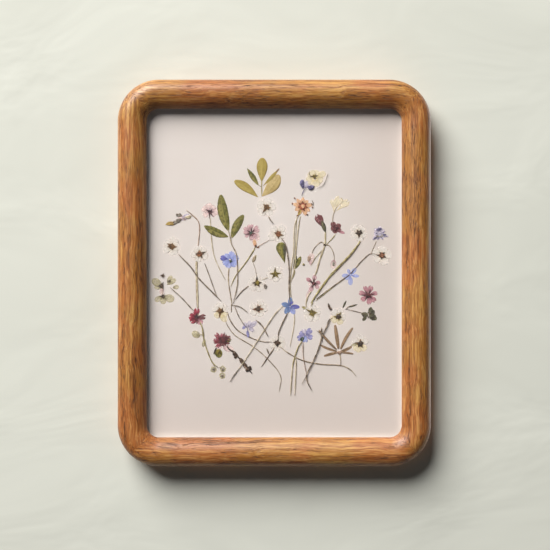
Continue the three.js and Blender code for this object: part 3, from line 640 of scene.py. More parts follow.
def screw_mesh():
    """A pan-head screw: its head points along -z, and it has a cross recess and a threaded
    shank."""
    head, height, shank, root, length, pitch = 3, 1.2, 1.4, 1.05, 9, 0.9
    plain, point, edge, turned, recess = 1.6, 1.6, 0.35, 0.3, (2.9, 0.55, 1.3)
    dome = [(head * math.sin(a), -height * (1 - 0.42 * (math.sin(a) ** 4)))
            for a in (math.radians(d) for d in range(0, 90, 10))]
    profile = [(0, dome[0][1]), *dome[1:], (head, -edge), (head - 0.08, 0), (shank, 0),
               (shank, plain)]
    z = plain
    while z < length - 2 * pitch:
        profile += [(root, z + pitch * 0.25), (shank, z + pitch * 0.6), (shank, z + pitch * 0.7)]
        z += pitch
    profile += [(root, length - point), (0, length)]
    slots = []
    for turn in (0, math.pi / 2):
        slot = Matrix.Rotation(turn + turned, 4, "Z") @ Matrix.Translation((0, 0, -height))
        slots.append(box_mesh(recess, slot))
    return made_smooth(combined(revolved(profile), slots), 30)


def button_mesh():
    """A flat teardrop with eased edges that points along x from its screw hole."""
    reach, tail, nose, eased = 14.5, 4.5, 3, 0.18
    lean = math.degrees(math.acos((tail - nose) / reach))
    rim = arc(0, 0, tail, lean, 360 - lean, 40) + arc(reach, 0, nose, -lean, lean, 22)
    return stamped([rim, circle(0, 0, FIXING_HOLE)], BUTTON_THICKNESS, eased)


def strap_mesh():
    """A stamped tongue with a screw hole, whose end curls round into a knuckle about the y axis."""
    half_width, length, eased = 3.5, 11, 0.12
    knuckle = KNUCKLE_BORE / 2 + STRAP_THICKNESS
    rise = knuckle - STRAP_THICKNESS / 2
    rim = [(0.0, -half_width), (0.0, half_width)]
    rim += arc(half_width - length, 0, half_width, 90, 270, 28)
    tongue = stamped([rim, circle(-SCREW_OFFSET, 0, FIXING_HOLE)], STRAP_THICKNESS, eased)
    tongue.transform(Matrix.Translation((0, 0, rise)))
    loop = stamped([circle(0, 0, knuckle, 36), circle(0, 0, KNUCKLE_BORE / 2)], 2 * half_width,
                   eased)
    loop.transform(Matrix.Rotation(math.pi / 2, 4, "X"))
    return made_smooth(combined(tongue, [loop], "UNION"), 30)


def ring_mesh():
    """A D of round wire whose straight side lies on the y axis."""
    reach, half_width, straight, bend = 10, 6.7, 5.2, 1.6
    path = [(0, 0), (0, straight - bend), (0.12, straight), (0.17 * reach, half_width),
            (0.34 * reach, 0.995 * half_width), (0.52 * reach, 0.93 * half_width),
            (0.7 * reach, 0.78 * half_width), (0.86 * reach, 0.56 * half_width),
            (0.965 * reach, 0.29 * half_width)]
    path = path + [(reach, 0)] + [(x, -y) for x, y in reversed(path[1:])]
    curve = bpy.data.curves.new("ring", "CURVE")
    curve.dimensions = "3D"
    curve.bevel_depth = RING_WIRE / 2
    curve.bevel_resolution = 5
    curve.resolution_u = 6
    spline = curve.splines.new("BEZIER")
    spline.bezier_points.add(len(path) - 1)
    spline.use_cyclic_u = True
    for point, (x, y) in zip(spline.bezier_points, path):
        point.co = (x, y, 0)
        point.handle_left_type = point.handle_right_type = "AUTO"
    return made_smooth(evaluated(placed("ring", curve)), 60)


def bumper_mesh():
    """A felt pad with a soft rim; it lies against the wall at z = -STAND_OFF."""
    radius, soft, eased = 4.5, 1.1, 0.25
    rim = [(radius - soft + soft * math.sin(a), -STAND_OFF + soft - soft * math.cos(a))
           for a in (math.radians(d) for d in range(0, 91, 15))]
    profile = [(0, -STAND_OFF), *rim, (radius, -eased), (radius - eased, 0), (0, 0)]
    return made_smooth(revolved(profile, 48), 40)


def make_fittings():
    brass = drawn_metal("brass", rgb(206, 168, 96), rgb(146, 108, 56), (2600, 260, 900))
    steel = drawn_metal("zinc", rgb(206, 208, 210), rgb(150, 152, 156), (900, 900, 300))
    pad = felt()
    side_x = OUTER_WIDTH / 2 - SCREW_INSET
    end_z = OUTER_HEIGHT / 2 - SCREW_INSET
    spots = {"top": (0, end_z, -math.pi / 2), "bottom": (0, -end_z, math.pi / 2)}
    for level, z in (("upper", SIDE_BUTTON_Z), ("lower", -SIDE_BUTTON_Z)):
        spots[f"left_{level}"] = (-side_x, z, 0)
        spots[f"right_{level}"] = (side_x, z, math.pi)
    for name, (x, z, turn) in spots.items():
        plate = button_mesh()
        plate.transform(hung(x, z, -HAIRLINE - BUTTON_THICKNESS / 2, turn))
        piece(f"{name}_turn_button", plate, brass, f"button_{name}", "button_brass",
              f"turn_button_{name}")
        fixing = screw_mesh()
        fixing.transform(hung(x, z, -BUTTON_THICKNESS - 2 * HAIRLINE, turn))
        piece(f"{name}_button_screw", fixing, brass, "frame", "button_brass",
              f"button_screw_{name}")
    knuckle_x = side_x - SCREW_OFFSET
    knuckle_depth = -HAIRLINE - KNUCKLE_BORE / 2 - STRAP_THICKNESS
    for name, side in (("left", -1), ("right", 1)):
        turn = math.pi if side > 0 else 0
        at_knuckle = hung(side * knuckle_x, RING_Z, knuckle_depth, turn)
        strap = strap_mesh()
        strap.transform(at_knuckle)
        piece(f"{name}_hanger_strap", strap, steel, "frame", "hanger_steel", f"hanger_strap_{name}")
        ring = ring_mesh()
        ring.transform(at_knuckle)
        piece(f"{name}_hanger_ring", ring, steel, f"ring_{name}", "hanger_steel",
              f"hanger_ring_{name}")
        fixing = screw_mesh()
        fixing.transform(hung(side * side_x, RING_Z, -2 * HAIRLINE - STRAP_THICKNESS, turn))
        piece(f"{name}_hanger_screw", fixing, steel, "frame", "hanger_steel",
              f"hanger_screw_{name}")
        for edge, side_z in (("top", 1), ("bottom", -1)):
            node = f"wall_bumper_{edge}_{name}"
            low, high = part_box(node)
            middle = (low + high) / (2 * MM)
            bumper = bumper_mesh()
            bumper.transform(hung(middle.x, middle.z, 0))
            piece(f"{edge}_{name}_wall_bumper", bumper, pad, "frame", "bumper_felt", node)


# ---------------------------------------------------------------- the stack in the rebate

def make_stack():
    glass = pane_glass()
    for node in ("front_glass", "rear_glass"):
        carried(node, glass, 0.25 * MM)
    # the third colour is painted shade and warm bounce light towards the card's right and foot
    ground = paper("ground_card_paper", rgb(225, 213, 209), rgb(221, 208, 203), rgb(213, 198, 192))
    carried("ground_card", ground)
    carried("filler_board", paper("filler_paper", rgb(236, 233, 226), rgb(214, 210, 200)))
    carried("back_board", hardboard(), 0.2 * MM)
    spacer = paper("spacer_paper", rgb(240, 237, 230), rgb(226, 222, 214))
    for side in ("top", "bottom", "left", "right"):
        carried(f"edge_spacer_{side}", spacer, 0.1 * MM)
    wood = key_wood()
    for corner in ("top_left", "top_right", "bottom_left", "bottom_right"):
        carried(f"mitre_key_{corner}", wood, 0.2 * MM)


# ---------------------------------------------------------------- pressed plants

def heading(degrees):
    """The unit vector (x, z) at an angle clockwise from up."""
    angle = math.radians(degrees)
    return Vector((math.sin(angle), math.cos(angle)))


class Pressing:
    """The faces of one sprig's parts that share a finish. Points are (x, z, height off the
    card), mm."""

    def __init__(self):
        self.points = []
        self.faces = []
        self.traits = []

    def grid(self, rows, closed=False):
        """Faces over rows of ((x, z, height), (across, along, number)) of equal length."""
        start = len(self.points)
        width = len(rows[0])
        for row in rows:
            for point, trait in row:
                self.points.append(point)
                self.traits.append(trait)
        for j in range(len(rows) - 1):
            for i in range(width if closed else width - 1):
                a = start + j * width + i
                b = start + j * width + (i + 1) % width
                self.faces.append((a, b, b + width, a + width))
        if closed:
            self.faces.append(tuple(range(start + width - 1, start - 1, -1)))
            last = start + (len(rows) - 1) * width
            self.faces.append(tuple(range(last, last + width)))

    def mesh(self, name, rear):
        """rear is the y of the sprig's rear face, in metres."""
        made = bpy.data.meshes.new(name)
        made.from_pydata([(x * MM, rear - height * MM, z * MM) for x, z, height in self.points], [],
                         self.faces)
        trait = made.attributes.new(BLADE, "FLOAT_VECTOR", "POINT")
        trait.data.foreach_set("vector", [value for row in self.traits for value in row])
        made.shade_smooth()
        made.update()
        return made


def smooth_line(points, step=1.0):
    """Points about a step apart on a smooth curve through the given (x, z) ones."""
    knots = [Vector(p) for p in points]
    if len(knots) == 2:
        knots.insert(1, (knots[0] + knots[1]) / 2)
    ends = [2 * knots[0] - knots[1], *knots, 2 * knots[-1] - knots[-2]]
    line = []
    for a, b, c, d in zip(ends, ends[1:], ends[2:], ends[3:]):
        count = max(2, round((c - b).length / step))
        for i in range(count):
            t = i / count
            line.append(0.5 * (2 * b + (c - a) * t + (2 * a - 5 * b + 4 * c - d) * t ** 2
                               + (3 * b - a - 3 * c + d) * t ** 3))
    line.append(knots[-1])
    return line


class Sprig:
    """One sprig: its parts by finish, drawn with its own seeded random numbers. Places are (x,
    z) in millimetres, and lift and height are distances off the card and through the part."""

    def __init__(self, name, seed):
        self.name = name
        self.parts = {}
        self.random = random.Random(seed)
        self.count = 0

    def part(self, finish):
        return self.parts.setdefault(finish, Pressing())

    def stem(self, finish, width, *points, height=0.13, taper=0.75):
        """A flattened stem of oval section; width is at its start, and taper what share of it is
        left at its end. Stems dry to less than their drawn width."""
        line = smooth_line(points)
        self.count += 1
        sides, shrunk, flattened = 8, 0.43, 0.13
        travelled = 0.0
        rows = []
        for k, middle in enumerate(line):
            before, after = line[max(k - 1, 0)], line[min(k + 1, len(line) - 1)]
            travelled += (middle - before).length
            along = (after - before).normalized()
            across = Vector((-along.y, along.x))
            share = k / (len(line) - 1)
            swell = 1 + 0.14 * math.sin(travelled * 0.9 + self.count) + self.random.uniform(-0.1,
                                                                                            0.1)
            close = min(1, 4 * min(share, 1 - share) + 0.45)
            half = shrunk * width * (1 + (taper - 1) * share) * swell * close
            row = []
            for i in range(sides):
                turn = 2 * math.pi * i / sides
                at = middle + across * half * math.cos(turn)
                lift = height + min(flattened, 0.4 * half) * math.sin(turn)
                row.append(((at.x, at.y, lift), (math.cos(turn), travelled, self.count)))
            rows.append(row)
        self.part(finish).grid(rows, closed=True)

    def blade(self, finish, base, tip, width, *, bend=0.0, fullness=0.62, peak=0.5, notch=0.0,
              fringe=0.0, teeth=0.0, fold=0.03, lift=0.1, ruffle=0.02):
        """A petal or leaf. peak is where along it is widest, and fullness how pointed its ends
        are: less is blunter. notch and fringe shape its tip, teeth its sides, and fold and
        ruffle its relief."""
        start, end = Vector(base), Vector(tip)
        axis = end - start
        length = axis.length
        along = axis / length
        across = Vector((-along.y, along.x))
        self.count += 1
        columns, steps = 9, max(10, round(length * 1.6))
        power = math.log(0.5) / math.log(peak)
        phase = self.random.uniform(0, 6.28)
        rows = []
        for j in range(steps + 1):
            v = j / steps
            bell = max(0.0, math.sin(math.pi * min(1.0, 0.02 + 0.96 * v) ** power)) ** fullness
            saw = 1 + teeth * ((v * length * 1.1) % 1.0)
            row = []
            for i in range(columns):
                u = 2 * i / (columns - 1) - 1
                edge = abs(u) ** 3
                side = u * width / 2 * bell * (1 + (saw - 1) * edge)
                dip = notch * (1 - abs(u)) ** 1.5 + fringe * (0.5 + 0.5 * math.sin(9 * u + phase))
                reach = length * (v - dip * v ** 4)
                sway = bend * math.sin(math.pi * v)
                at = start + along * reach + across * (side + sway)
                wave = ruffle * math.sin(7 * v + 2.5 * u + phase) * abs(u)
                height = lift + fold * abs(u) * bell + wave
                row.append(((at.x, at.y, height), (u, v, self.count + 0.37 * phase)))
            rows.append(row)
        self.part(finish).grid(rows)

    def blob(self, finish, x, z, radius_x, radius_z, turn=0.0, lift=0.1, height=0.24):
        """A flattened dome, such as a bud, a seed or the middle of a flower."""
        self.count += 1
        sides, levels = 14, 4
        rows = []
        spin = math.radians(turn)
        phase = self.random.uniform(0, 6.28)
        for level in range(levels + 1):
            share = level / levels
            shrink = math.cos(share * math.pi / 2 * 0.93)
            row = []
            for i in range(sides):
                angle = 2 * math.pi * i / sides
                lump = (1 + 0.1 * math.sin(3 * angle + phase)
                        + 0.06 * math.sin(5 * angle + 2 * phase))
                px = radius_x * shrink * lump * math.cos(angle)
                pz = radius_z * shrink * lump * math.sin(angle)
                at_x = x + px * math.cos(spin) - pz * math.sin(spin)
                at_z = z + px * math.sin(spin) + pz * math.cos(spin)
                trait = (math.cos(angle), 3 * share + angle, self.count + phase)
                row.append(((at_x, at_z, lift + height * math.sin(share * math.pi / 2)), trait))
            rows.append(row)
        self.part(finish).grid(rows, closed=True)

    def whorl(self, finish, x, z, radius, petals, width, turn=0.0, spread=360.0, base=0.12,
              **shape):
        """Petals spaced evenly round a middle, each a little different from the next."""
        for k in range(petals):
            out = heading(turn + spread * k / petals + self.random.uniform(-7, 7))
            reach = radius * self.random.uniform(0.9, 1.06)
            near, far = Vector((x, z)) + out * radius * base, Vector((x, z)) + out * reach
            step = 0.02 * (k % 3)
            self.blade(finish, near, far, radius * width * self.random.uniform(0.88, 1.1),
                       bend=self.random.uniform(-0.25, 0.25), lift=0.06 + step, **shape)

    def petals(self, finish, x, z, gap, *petals, **shape):
        """Petals drawn one by one round a middle, from gap outwards: (degrees clockwise from up,
        reach, width), and a finish where one has its own."""
        middle = Vector((x, z))
        for turn, reach, width, *own in petals:
            out = heading(turn)
            self.blade(*own or [finish], middle + out * gap, middle + out * reach, width, **shape)

    def heart(self, finish, x, z, radius, *arms, arm=None):
        """The dried calyx and stamens in a flower's middle: a lumpy knob and pointed arms of uneven
        length. Each arm is (degrees clockwise from up, length)."""
        for turn, length in arms:
            tip = Vector((x, z)) + heading(turn) * length * 1.1
            self.blade(arm or finish, (x, z), tip, radius, fullness=1.0, peak=0.26, lift=0.2,
                       fold=0.02, ruffle=0.01, bend=self.random.uniform(-0.2, 0.2))
        self.blob(finish, x, z, radius * 1.05, radius * 0.92, turn=self.random.uniform(0, 90),
                  lift=0.16, height=0.14)
        for _ in range(6):
            angle = self.random.uniform(0, 2 * math.pi)
            far = radius * self.random.uniform(0.6, 1.1)
            self.blob(finish, x + far * math.sin(angle), z + far * math.cos(angle), 0.5, 0.38,
                      lift=0.2, height=0.1)

    def white(self, x, z, radius, *arms, turn=0.0, second="ivory", heart="brown_heart", knob=1.5,
              arm=None):
        """A white flower of five petals, whose two lower ones have the second finish."""
        for k in range(5):
            finish = second if k in (2, 3) else "ivory"
            self.whorl(finish, x, z, radius * self.random.uniform(0.92, 1.06), 1,
                       self.random.uniform(0.78, 0.96), turn + 72 * k, fullness=0.5, peak=0.62,
                       notch=0.08, fringe=0.05)
        self.heart(heart, x, z, knob, *arms, arm=arm)

    def ragged(self, finish, x, z, radius, turn, petals, width, notch, spread=360.0):
        """A whorl of frayed petals."""
        self.whorl(finish, x, z, radius, petals, width, turn, spread, fullness=0.58, peak=0.66,
                   notch=notch, fringe=0.14, fold=0.05)

    def finish(self, node):
        """Makes a piece of each finish's parts. Sheets get a body, and let the light through."""
        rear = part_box(node)[1].y
        for finish, pressing in self.parts.items():
            material, slot, thin = FINISHES[finish]
            mesh = pressing.mesh(finish, rear)
            thing = piece(f"{self.name}_{finish}", mesh, material, "frame", slot, node)
            if thin:
                thing.visible_shadow = False
                body = thing.modifiers.new("body", "SOLIDIFY")
                body.thickness = SHEET * MM
                body.offset = 0


def golden_leaf(s):
    s.stem("olive_stem", 0.8, (-8.2, 61), (-8.3, 55), (-8.2, 50.2))
    s.stem("brown_stem", 0.5, (-8.3, 56.2), (-10.4, 57.6))
    leaf_shape = {"fullness": 0.66, "peak": 0.62, "fold": 0.05}
    s.blade("gold_leaf", (-8.2, 59.8), (-7.8, 75.4), 7.2, **leaf_shape)
    s.blade("gold_leaf", (-10.6, 49.6), (-26, 60.4), 5.8, bend=-0.7, **leaf_shape)
    s.blade("green_leaf", (-10.2, 57.2), (-17.7, 68.4), 3.2, peak=0.5, fullness=0.95, teeth=0.08)
    s.blade("rosy_gold_leaf", (-8, 50.2), (3.4, 64), 8, bend=-0.9, **leaf_shape)
    s.blade("gold_leaf", (-7.6, 56.6), (2.6, 67.4), 2.2, peak=0.6, fullness=0.8, lift=0.28)
    s.blade("brown_leaf", (1.2, 66), (3.4, 68.4), 1.2, lift=0.34)


def green_leaf(s):
    s.stem("brown_stem", 0.8, (-30.4, 29), (-29, 24), (-28, 19), (-24.8, 12), (-24, 0), (-24.4, -9),
           (-27, -20))
    leaves = [((-30.1, 27.8), (-35, 51.2), 6.4, 0.9, 0.62),
              ((-30.2, 23.6), (-45.8, 30.8), 5.2, 0.6, 0.74),
              ((-27.8, 23.2), (-20.2, 38), 5.2, 0.6, 0.6)]
    for base, tip, width, bend, fullness in leaves:
        s.blade("green_leaf", base, tip, width, bend=bend, peak=0.52, fullness=fullness, teeth=0.12,
                fold=0.05)
    s.stem("brown_stem", 0.5, (-28.6, 22.6), (-27.6, 23.8))


def golden_raceme(s):
    s.stem("rosy_stem", 0.9, (-57.6, 41.2), (-53.4, 37.8), (-49.6, 33.6), (-48.9, 28), (-49.6, 20),
           (-50.4, 13))
    s.stem("pale_stem", 1.7, (-50.6, 12), (-50.9, 2), (-50.4, -12), (-50, -23), taper=0.9)
    s.stem("rosy_stem", 0.4, (-51.4, 11), (-51.2, -10), (-50.8, -22))
    s.stem("brown_stem", 0.5, (-53.6, 37.6), (-60, 35.6), (-65, 33))
    s.blade("gold_bud", (-65.6, 33.2), (-71.2, 31.8), 2.4, fullness=0.8)
    s.blob("gold_bud", -67.2, 32, 1.9, 1, 8)
    s.blob("grey_bud", -65, 33, 1.5, 1.3, 30)
    s.blob("brown_heart", -65.8, 33, 0.6, 0.5, 30, lift=0.2, height=0.14)
    s.blob("grey_bud", -62.6, 34.4, 2, 1.4, 30)
    s.blob("grey_bud", -62.4, 37.8, 1.7, 1.2, 10, lift=0.08)
    s.blade("rose", (-57.2, 35.2), (-63.2, 37.2), 3)
    s.blade("lilac", (-60.6, 34.6), (-56, 38.6), 3.2)
    for x, z, size in [(-64.2, 33.8, 0.6), (-66, 33.6, 0.4), (-61.2, 34.8, 0.6), (-63.6, 38.4, 0.8),
                       (-62, 38.5, 0.7), (-60.9, 37.6, 0.7), (-58.6, 35, 0.6)]:
        s.blob("dark_stem", x, z, size, size * 0.7, 20 * x, lift=0.22, height=0.12)
    s.blob("pale_stem", -56.4, 36.6, 2.2, 1.1, 10)


def crimson(s):
    s.stem("olive_stem", 1.1, (-48.6, -32), (-47, -36.5), (-46, -44), (-43.4, -52), (-40.4, -58.6),
           (-36.6, -61.8))
    s.stem("brown_stem", 0.5, (-40.4, -58.6), (-39.2, -61))
    s.stem("brown_stem", 0.5, (-36.4, -61.6), (-34.6, -62.2), (-34, -65.6))
    s.stem("olive_stem", 0.6, (-46.2, -40.5), (-49, -40.2))
    s.stem("dark_stem", 0.75, (-53, -24.4), (-57.4, -19.6), (-61.8, -15), (-68.4, -9.2))
    s.stem("brown_stem", 0.5, (-73.2, -9), (-73.4, -15.4))
    s.petals("crimson", -50.6, -29, 0.5, (0, 6.2, 4), (278, 5.8, 4.6), (232, 5.8, 4.4),
             (86, 6, 3.6, "plum"), (145, 6, 3.8, "pink"), (318, 4.4, 3), (190, 4.6, 3.4, "plum"),
             fullness=0.6, peak=0.66, notch=0.3, fringe=0.18, fold=0.05)
    s.heart("maroon_heart", -50.4, -29, 0.9, (0, 3), (60, 2.4), (115, 3.2), (180, 2.2), (235, 3),
            (300, 2.6))
    s.blob("sage", -49.6, -27.2, 0.45, 0.45, lift=0.3, height=0.14)
    for x, z in [(-39.6, -63.2), (-33.6, -62.8), (-34, -67.2)]:
        s.whorl("sage", x, z, 2.2, 5, 1.1, 30 * x, fullness=0.6)
        s.blob("grey_bud", x, z, 1.2, 1.1, 40 * x)
        s.blob("brown_heart", x, z, 0.45, 0.45, lift=0.3, height=0.1)
    s.blade("sage", (-48.8, -41.8), (-53.6, -38.6), 4.6, peak=0.5, fullness=0.45)
    s.blade("sage", (-49.6, -40.2), (-53, -41.2), 2.2)
    s.blade("sage", (-46.6, -48.4), (-45.4, -43.2), 2.4)
    for base, tip, width in [((-73.2, -8.4), (-79.8, -4.4), 5), ((-72.8, -9), (-78.4, -9.4), 3.4),
                             ((-70, -7.6), (-64.4, -4), 3.4), ((-70, -6.4), (-67, -1.8), 3),
                             ((-66.4, -9.6), (-62.4, -9), 3), ((-73, -15), (-78, -18.4), 3.6),
                             ((-73, -15), (-72.4, -20.4), 4),
                             ((-72.6, -15.4), (-65.4, -17.4), 5.2)]:
        s.blade("sage", base, tip, width, fullness=0.5, peak=0.6)
    s.blade("rose", (-73.4, -10), (-73.8, -14.4), 3)
    for x, z, size in [(-73, -1.6, 0.9), (-73.8, -8.4, 1.4), (-73, -15.3, 1.1), (-68.6, -5.4, 0.5)]:
        s.heart("dark_heart", x, z, size * 0.8, (30, 2 * size), (150, 1.7 * size), (265, 2 * size))


def white_fork(s):
    s.stem("dark_stem", 0.85, (-62.6, 12.4), (-60, 9.6), (-54.6, 4), (-49.4, -3.4), (-40, -13),
           (-34.8, -18.3), taper=1.1)
    s.stem("dark_stem", 0.7, (-45.6, 6.4), (-42.8, -1), (-39.8, -9.4), (-37.6, -15))
    s.white(-67, 17.3, 6.4, (90, 3.3), (265, 2.9), (303, 3.7), (10, 2.4), (170, 2.4), turn=20,
            knob=1.8)
    s.white(-48.8, 12.4, 6.2, (70, 4.2), (270, 2.8), (355, 3), (145, 3.2), (205, 2.4), turn=50,
            heart="rusty_heart", knob=1.9, arm="dark_stem")


def blue_and_pink(s):
    s.stem("brown_stem", 0.9, (-29.6, 3.6), (-30, -1), (-29.8, -7), (-28.4, -16), (-27.4, -21.6))
    s.stem("pale_stem", 0.8, (-41.8, 36), (-41.6, 30), (-40.6, 18), (-38.6, 9), (-33.4, -2),
           (-31.8, -4.6))
    s.stem("olive_stem", 0.9, (-12.4, 18.6), (-13.2, 15.4), (-19, 6.4), (-25, -1.4), (-28.6, -9))
    s.stem("brown_stem", 0.7, (-28, -20), (-28.2, -25.6))
    s.stem("rosy_stem", 0.45, (-11.8, 16.6), (-7, 19.4), (-1.5, 22.5))
    s.whorl("blue", -29, 8.4, 6.2, 6, 0.74, 12, fullness=0.62, peak=0.56, notch=0.2, fringe=0.12)
    s.whorl("pale_blue", -28.6, 8, 4.4, 3, 0.5, 40, fullness=0.62, peak=0.56, notch=0.2)
    s.blade("indigo", (-30.4, 9), (-35.4, 10.2), 3.6, peak=0.66, fullness=0.6, notch=0.15,
            lift=0.24)
    s.heart("green_heart", -28.6, 7.8, 0.7, (20, 1.5), (95, 1.7), (200, 1.6), (300, 1.5))
    s.blob("sage", -28.9, 8.4, 0.35, 0.35, lift=0.34, height=0.1)
    s.petals("rose", -42.2, 40.2, 0.6, (350, 6, 4.6), (40, 5.4, 3.8), (88, 6.8, 5), (132, 5, 2.8),
             (232, 5.6, 3.6), (296, 6, 4.2), fullness=0.55, peak=0.64, notch=0.2, fringe=0.12)
    s.heart("maroon_heart", -42.3, 40, 0.8, (300, 3.6), (182, 4.4), (140, 4.2), (40, 2.8),
            (85, 2.6))
    s.ragged("mauve", -15, 26.8, 5.9, 8, 10, 0.42, 0.12)
    s.ragged("rose", -13.6, 24, 4.6, 60, 4, 0.6, 0.2, spread=150)
    s.heart("green_heart", -15.2, 26, 0.9, (5, 3.8), (48, 3.6), (95, 3), (200, 3), (262, 4.2),
            (310, 3.4), (150, 2.4), arm="maroon_heart")
    s.blade("peach", (-12.2, 17), (-13.2, 22), 2.4, lift=0.24)
    s.blob("brown_heart", -12.2, 17.8, 0.8, 0.9)
    s.blob("rusty_heart", -10.6, 16.9, 0.8, 0.5)


def white_pair(s):
    s.stem("brown_stem", 0.45, (-11.4, -3), (-12.2, 1.6), (-14, 7.6))
    s.stem("dark_stem", 0.9, (-16.8, -8.4), (-21.4, -12.2), (-25.6, -17.4))
    s.stem("pale_stem", 0.6, (-8, -4.6), (-4.2, -2.8))
    s.blob("brown_stem", -13.2, 9.4, 1, 2, -20)
    s.blade("sage", (-14.2, 6.8), (-11.8, 11.8), 2.2)
    s.white(-11.3, -6.6, 6.1, (0, 4.4), (85, 3.1), (148, 2.8), (270, 3), (215, 2.4), turn=5,
            heart="olive_heart", knob=1.7, arm="dark_heart")
    s.blob("grey_bud", -5.8, -8.8, 1.1, 1.7, 10, lift=0.12)
    s.white(0.6, -0.6, 5.7, (2, 4.2), (84, 3.8), (140, 3), (218, 3.2), (272, 3.4), turn=34,
            heart="olive_heart", knob=1.4)


def tall_white(s):
    s.stem("dark_stem", 0.8, (-3.8, 37.2), (-2.6, 34.8), (-0.4, 32.4))
    s.stem("dark_stem", 0.9, (4.6, 22.6), (7, 19.4), (8.8, 11), (9.8, 1), (9.6, -8), (9.9, -17),
           taper=1)
    s.blade("green_leaf", (7, 6.2), (3.9, 20), 6.2, bend=0.3, peak=0.74, fullness=0.55, teeth=0.1)
    s.blade("dull_leaf", (7, 6.4), (6.3, 18.6), 1.8, bend=-0.3, peak=0.7, fullness=0.7, lift=0.24)
    s.white(-5, 43, 6.4, (215, 4.6), (310, 2.9), (95, 2.8), (5, 2.2), (140, 2.6), turn=8, knob=1.6)
    s.white(2.5, 25.6, 6.2, (105, 3.6), (175, 3), (290, 2.6), (350, 2.4), (48, 2.4), turn=30,
            heart="rusty_heart", knob=1.7, arm="brown_heart")


def peach(s):
    s.stem("pale_stem", 0.9, (15.6, 37.6), (13.2, 30), (12.6, 14), (11, 2), (10.6, -12),
           (13.2, -30), (10.4, -48))
    s.stem("pale_stem", 1, (17.2, 37.4), (15.8, 30), (14.4, 16), (13.4, 4), (10.8, -6))
    s.stem("olive_stem", 0.5, (14.8, 37.4), (14.2, 28), (13.6, 14), (12.2, 2))
    s.stem("olive_stem", 0.6, (13.6, 2), (13, -1), (11, -5))
    s.blade("green_leaf", (13.6, 2.8), (17.4, 10.8), 3.2, teeth=0.1)
    s.blade("dull_leaf", (13, 2.6), (14.6, 11), 2)
    s.petals("peach", 18.5, 43.6, 1.2, (3, 6.4, 2.8), (42, 5.6, 2.8), (80, 7.2, 3), (122, 6.4, 2.8),
             (158, 6.8, 3), (205, 6.6, 2.8), (245, 6, 3), (285, 6.6, 2.8), (322, 6.6, 2.8),
             fullness=0.85, peak=0.5, notch=0.12, fringe=0.18, fold=0.05)
    s.heart("rust_heart", 18.7, 43.6, 2.1, (0, 3.4), (52, 3.2), (105, 3.4), (160, 3.2), (212, 3.6),
            (262, 3.2), (310, 3.4), arm="rusty_heart")
    s.blob("peach", 18.8, 43.7, 1.3, 1.2, lift=0.36, height=0.08)
    s.blade("gold_bud", (17.4, 41.6), (15.6, 37.8), 1.6, lift=0.26)
    for x, z in [(24.6, 45.2), (25, 43), (15.2, 37.6), (21.6, 38.2), (13.4, 49), (11.8, 45.4)]:
        s.blob("rusty_heart", x, z, 0.45, 0.65, 30 * x, lift=0.2)
    s.stem("dark_stem", 0.5, (24.6, 47.6), (25.6, 45.6), (25.2, 43.6))


def cream(s):
    s.stem("lilac_bud", 0.5, (24.4, 56.2), (21.4, 56.2), (19.4, 54.2), (17.8, 50.4))
    s.whorl("cream", 26.6, 61.8, 6.2, 5, 0.95, 30, fullness=0.5, peak=0.6, notch=0.06, fringe=0.06)
    s.blade("cream", (28, 62.6), (33.6, 65.8), 4.2, peak=0.6, fullness=0.5)
    s.heart("olive_heart", 26.2, 63.2, 0.9, (80, 2.6), (270, 2.6), (140, 1.8), (30, 1.6),
            arm="dark_heart")
    s.stem("dark_stem", 0.55, (23, 66.6), (23, 64.6), (24.6, 62.6))
    s.stem("grey_bud", 0.4, (35.2, 65.2), (33.4, 60), (31.6, 57.2), (27.8, 55.4))
    s.blob("lilac_bud", 18.3, 58.4, 1.5, 2.8, 6)
    s.blob("lilac_bud", 24, 56, 2.3, 1.6, 12)
    s.blade("lilac", (19.6, 55.6), (21.8, 60.2), 3.2)
    s.blade("lilac", (22.4, 55.6), (20.4, 58.6), 2.4)


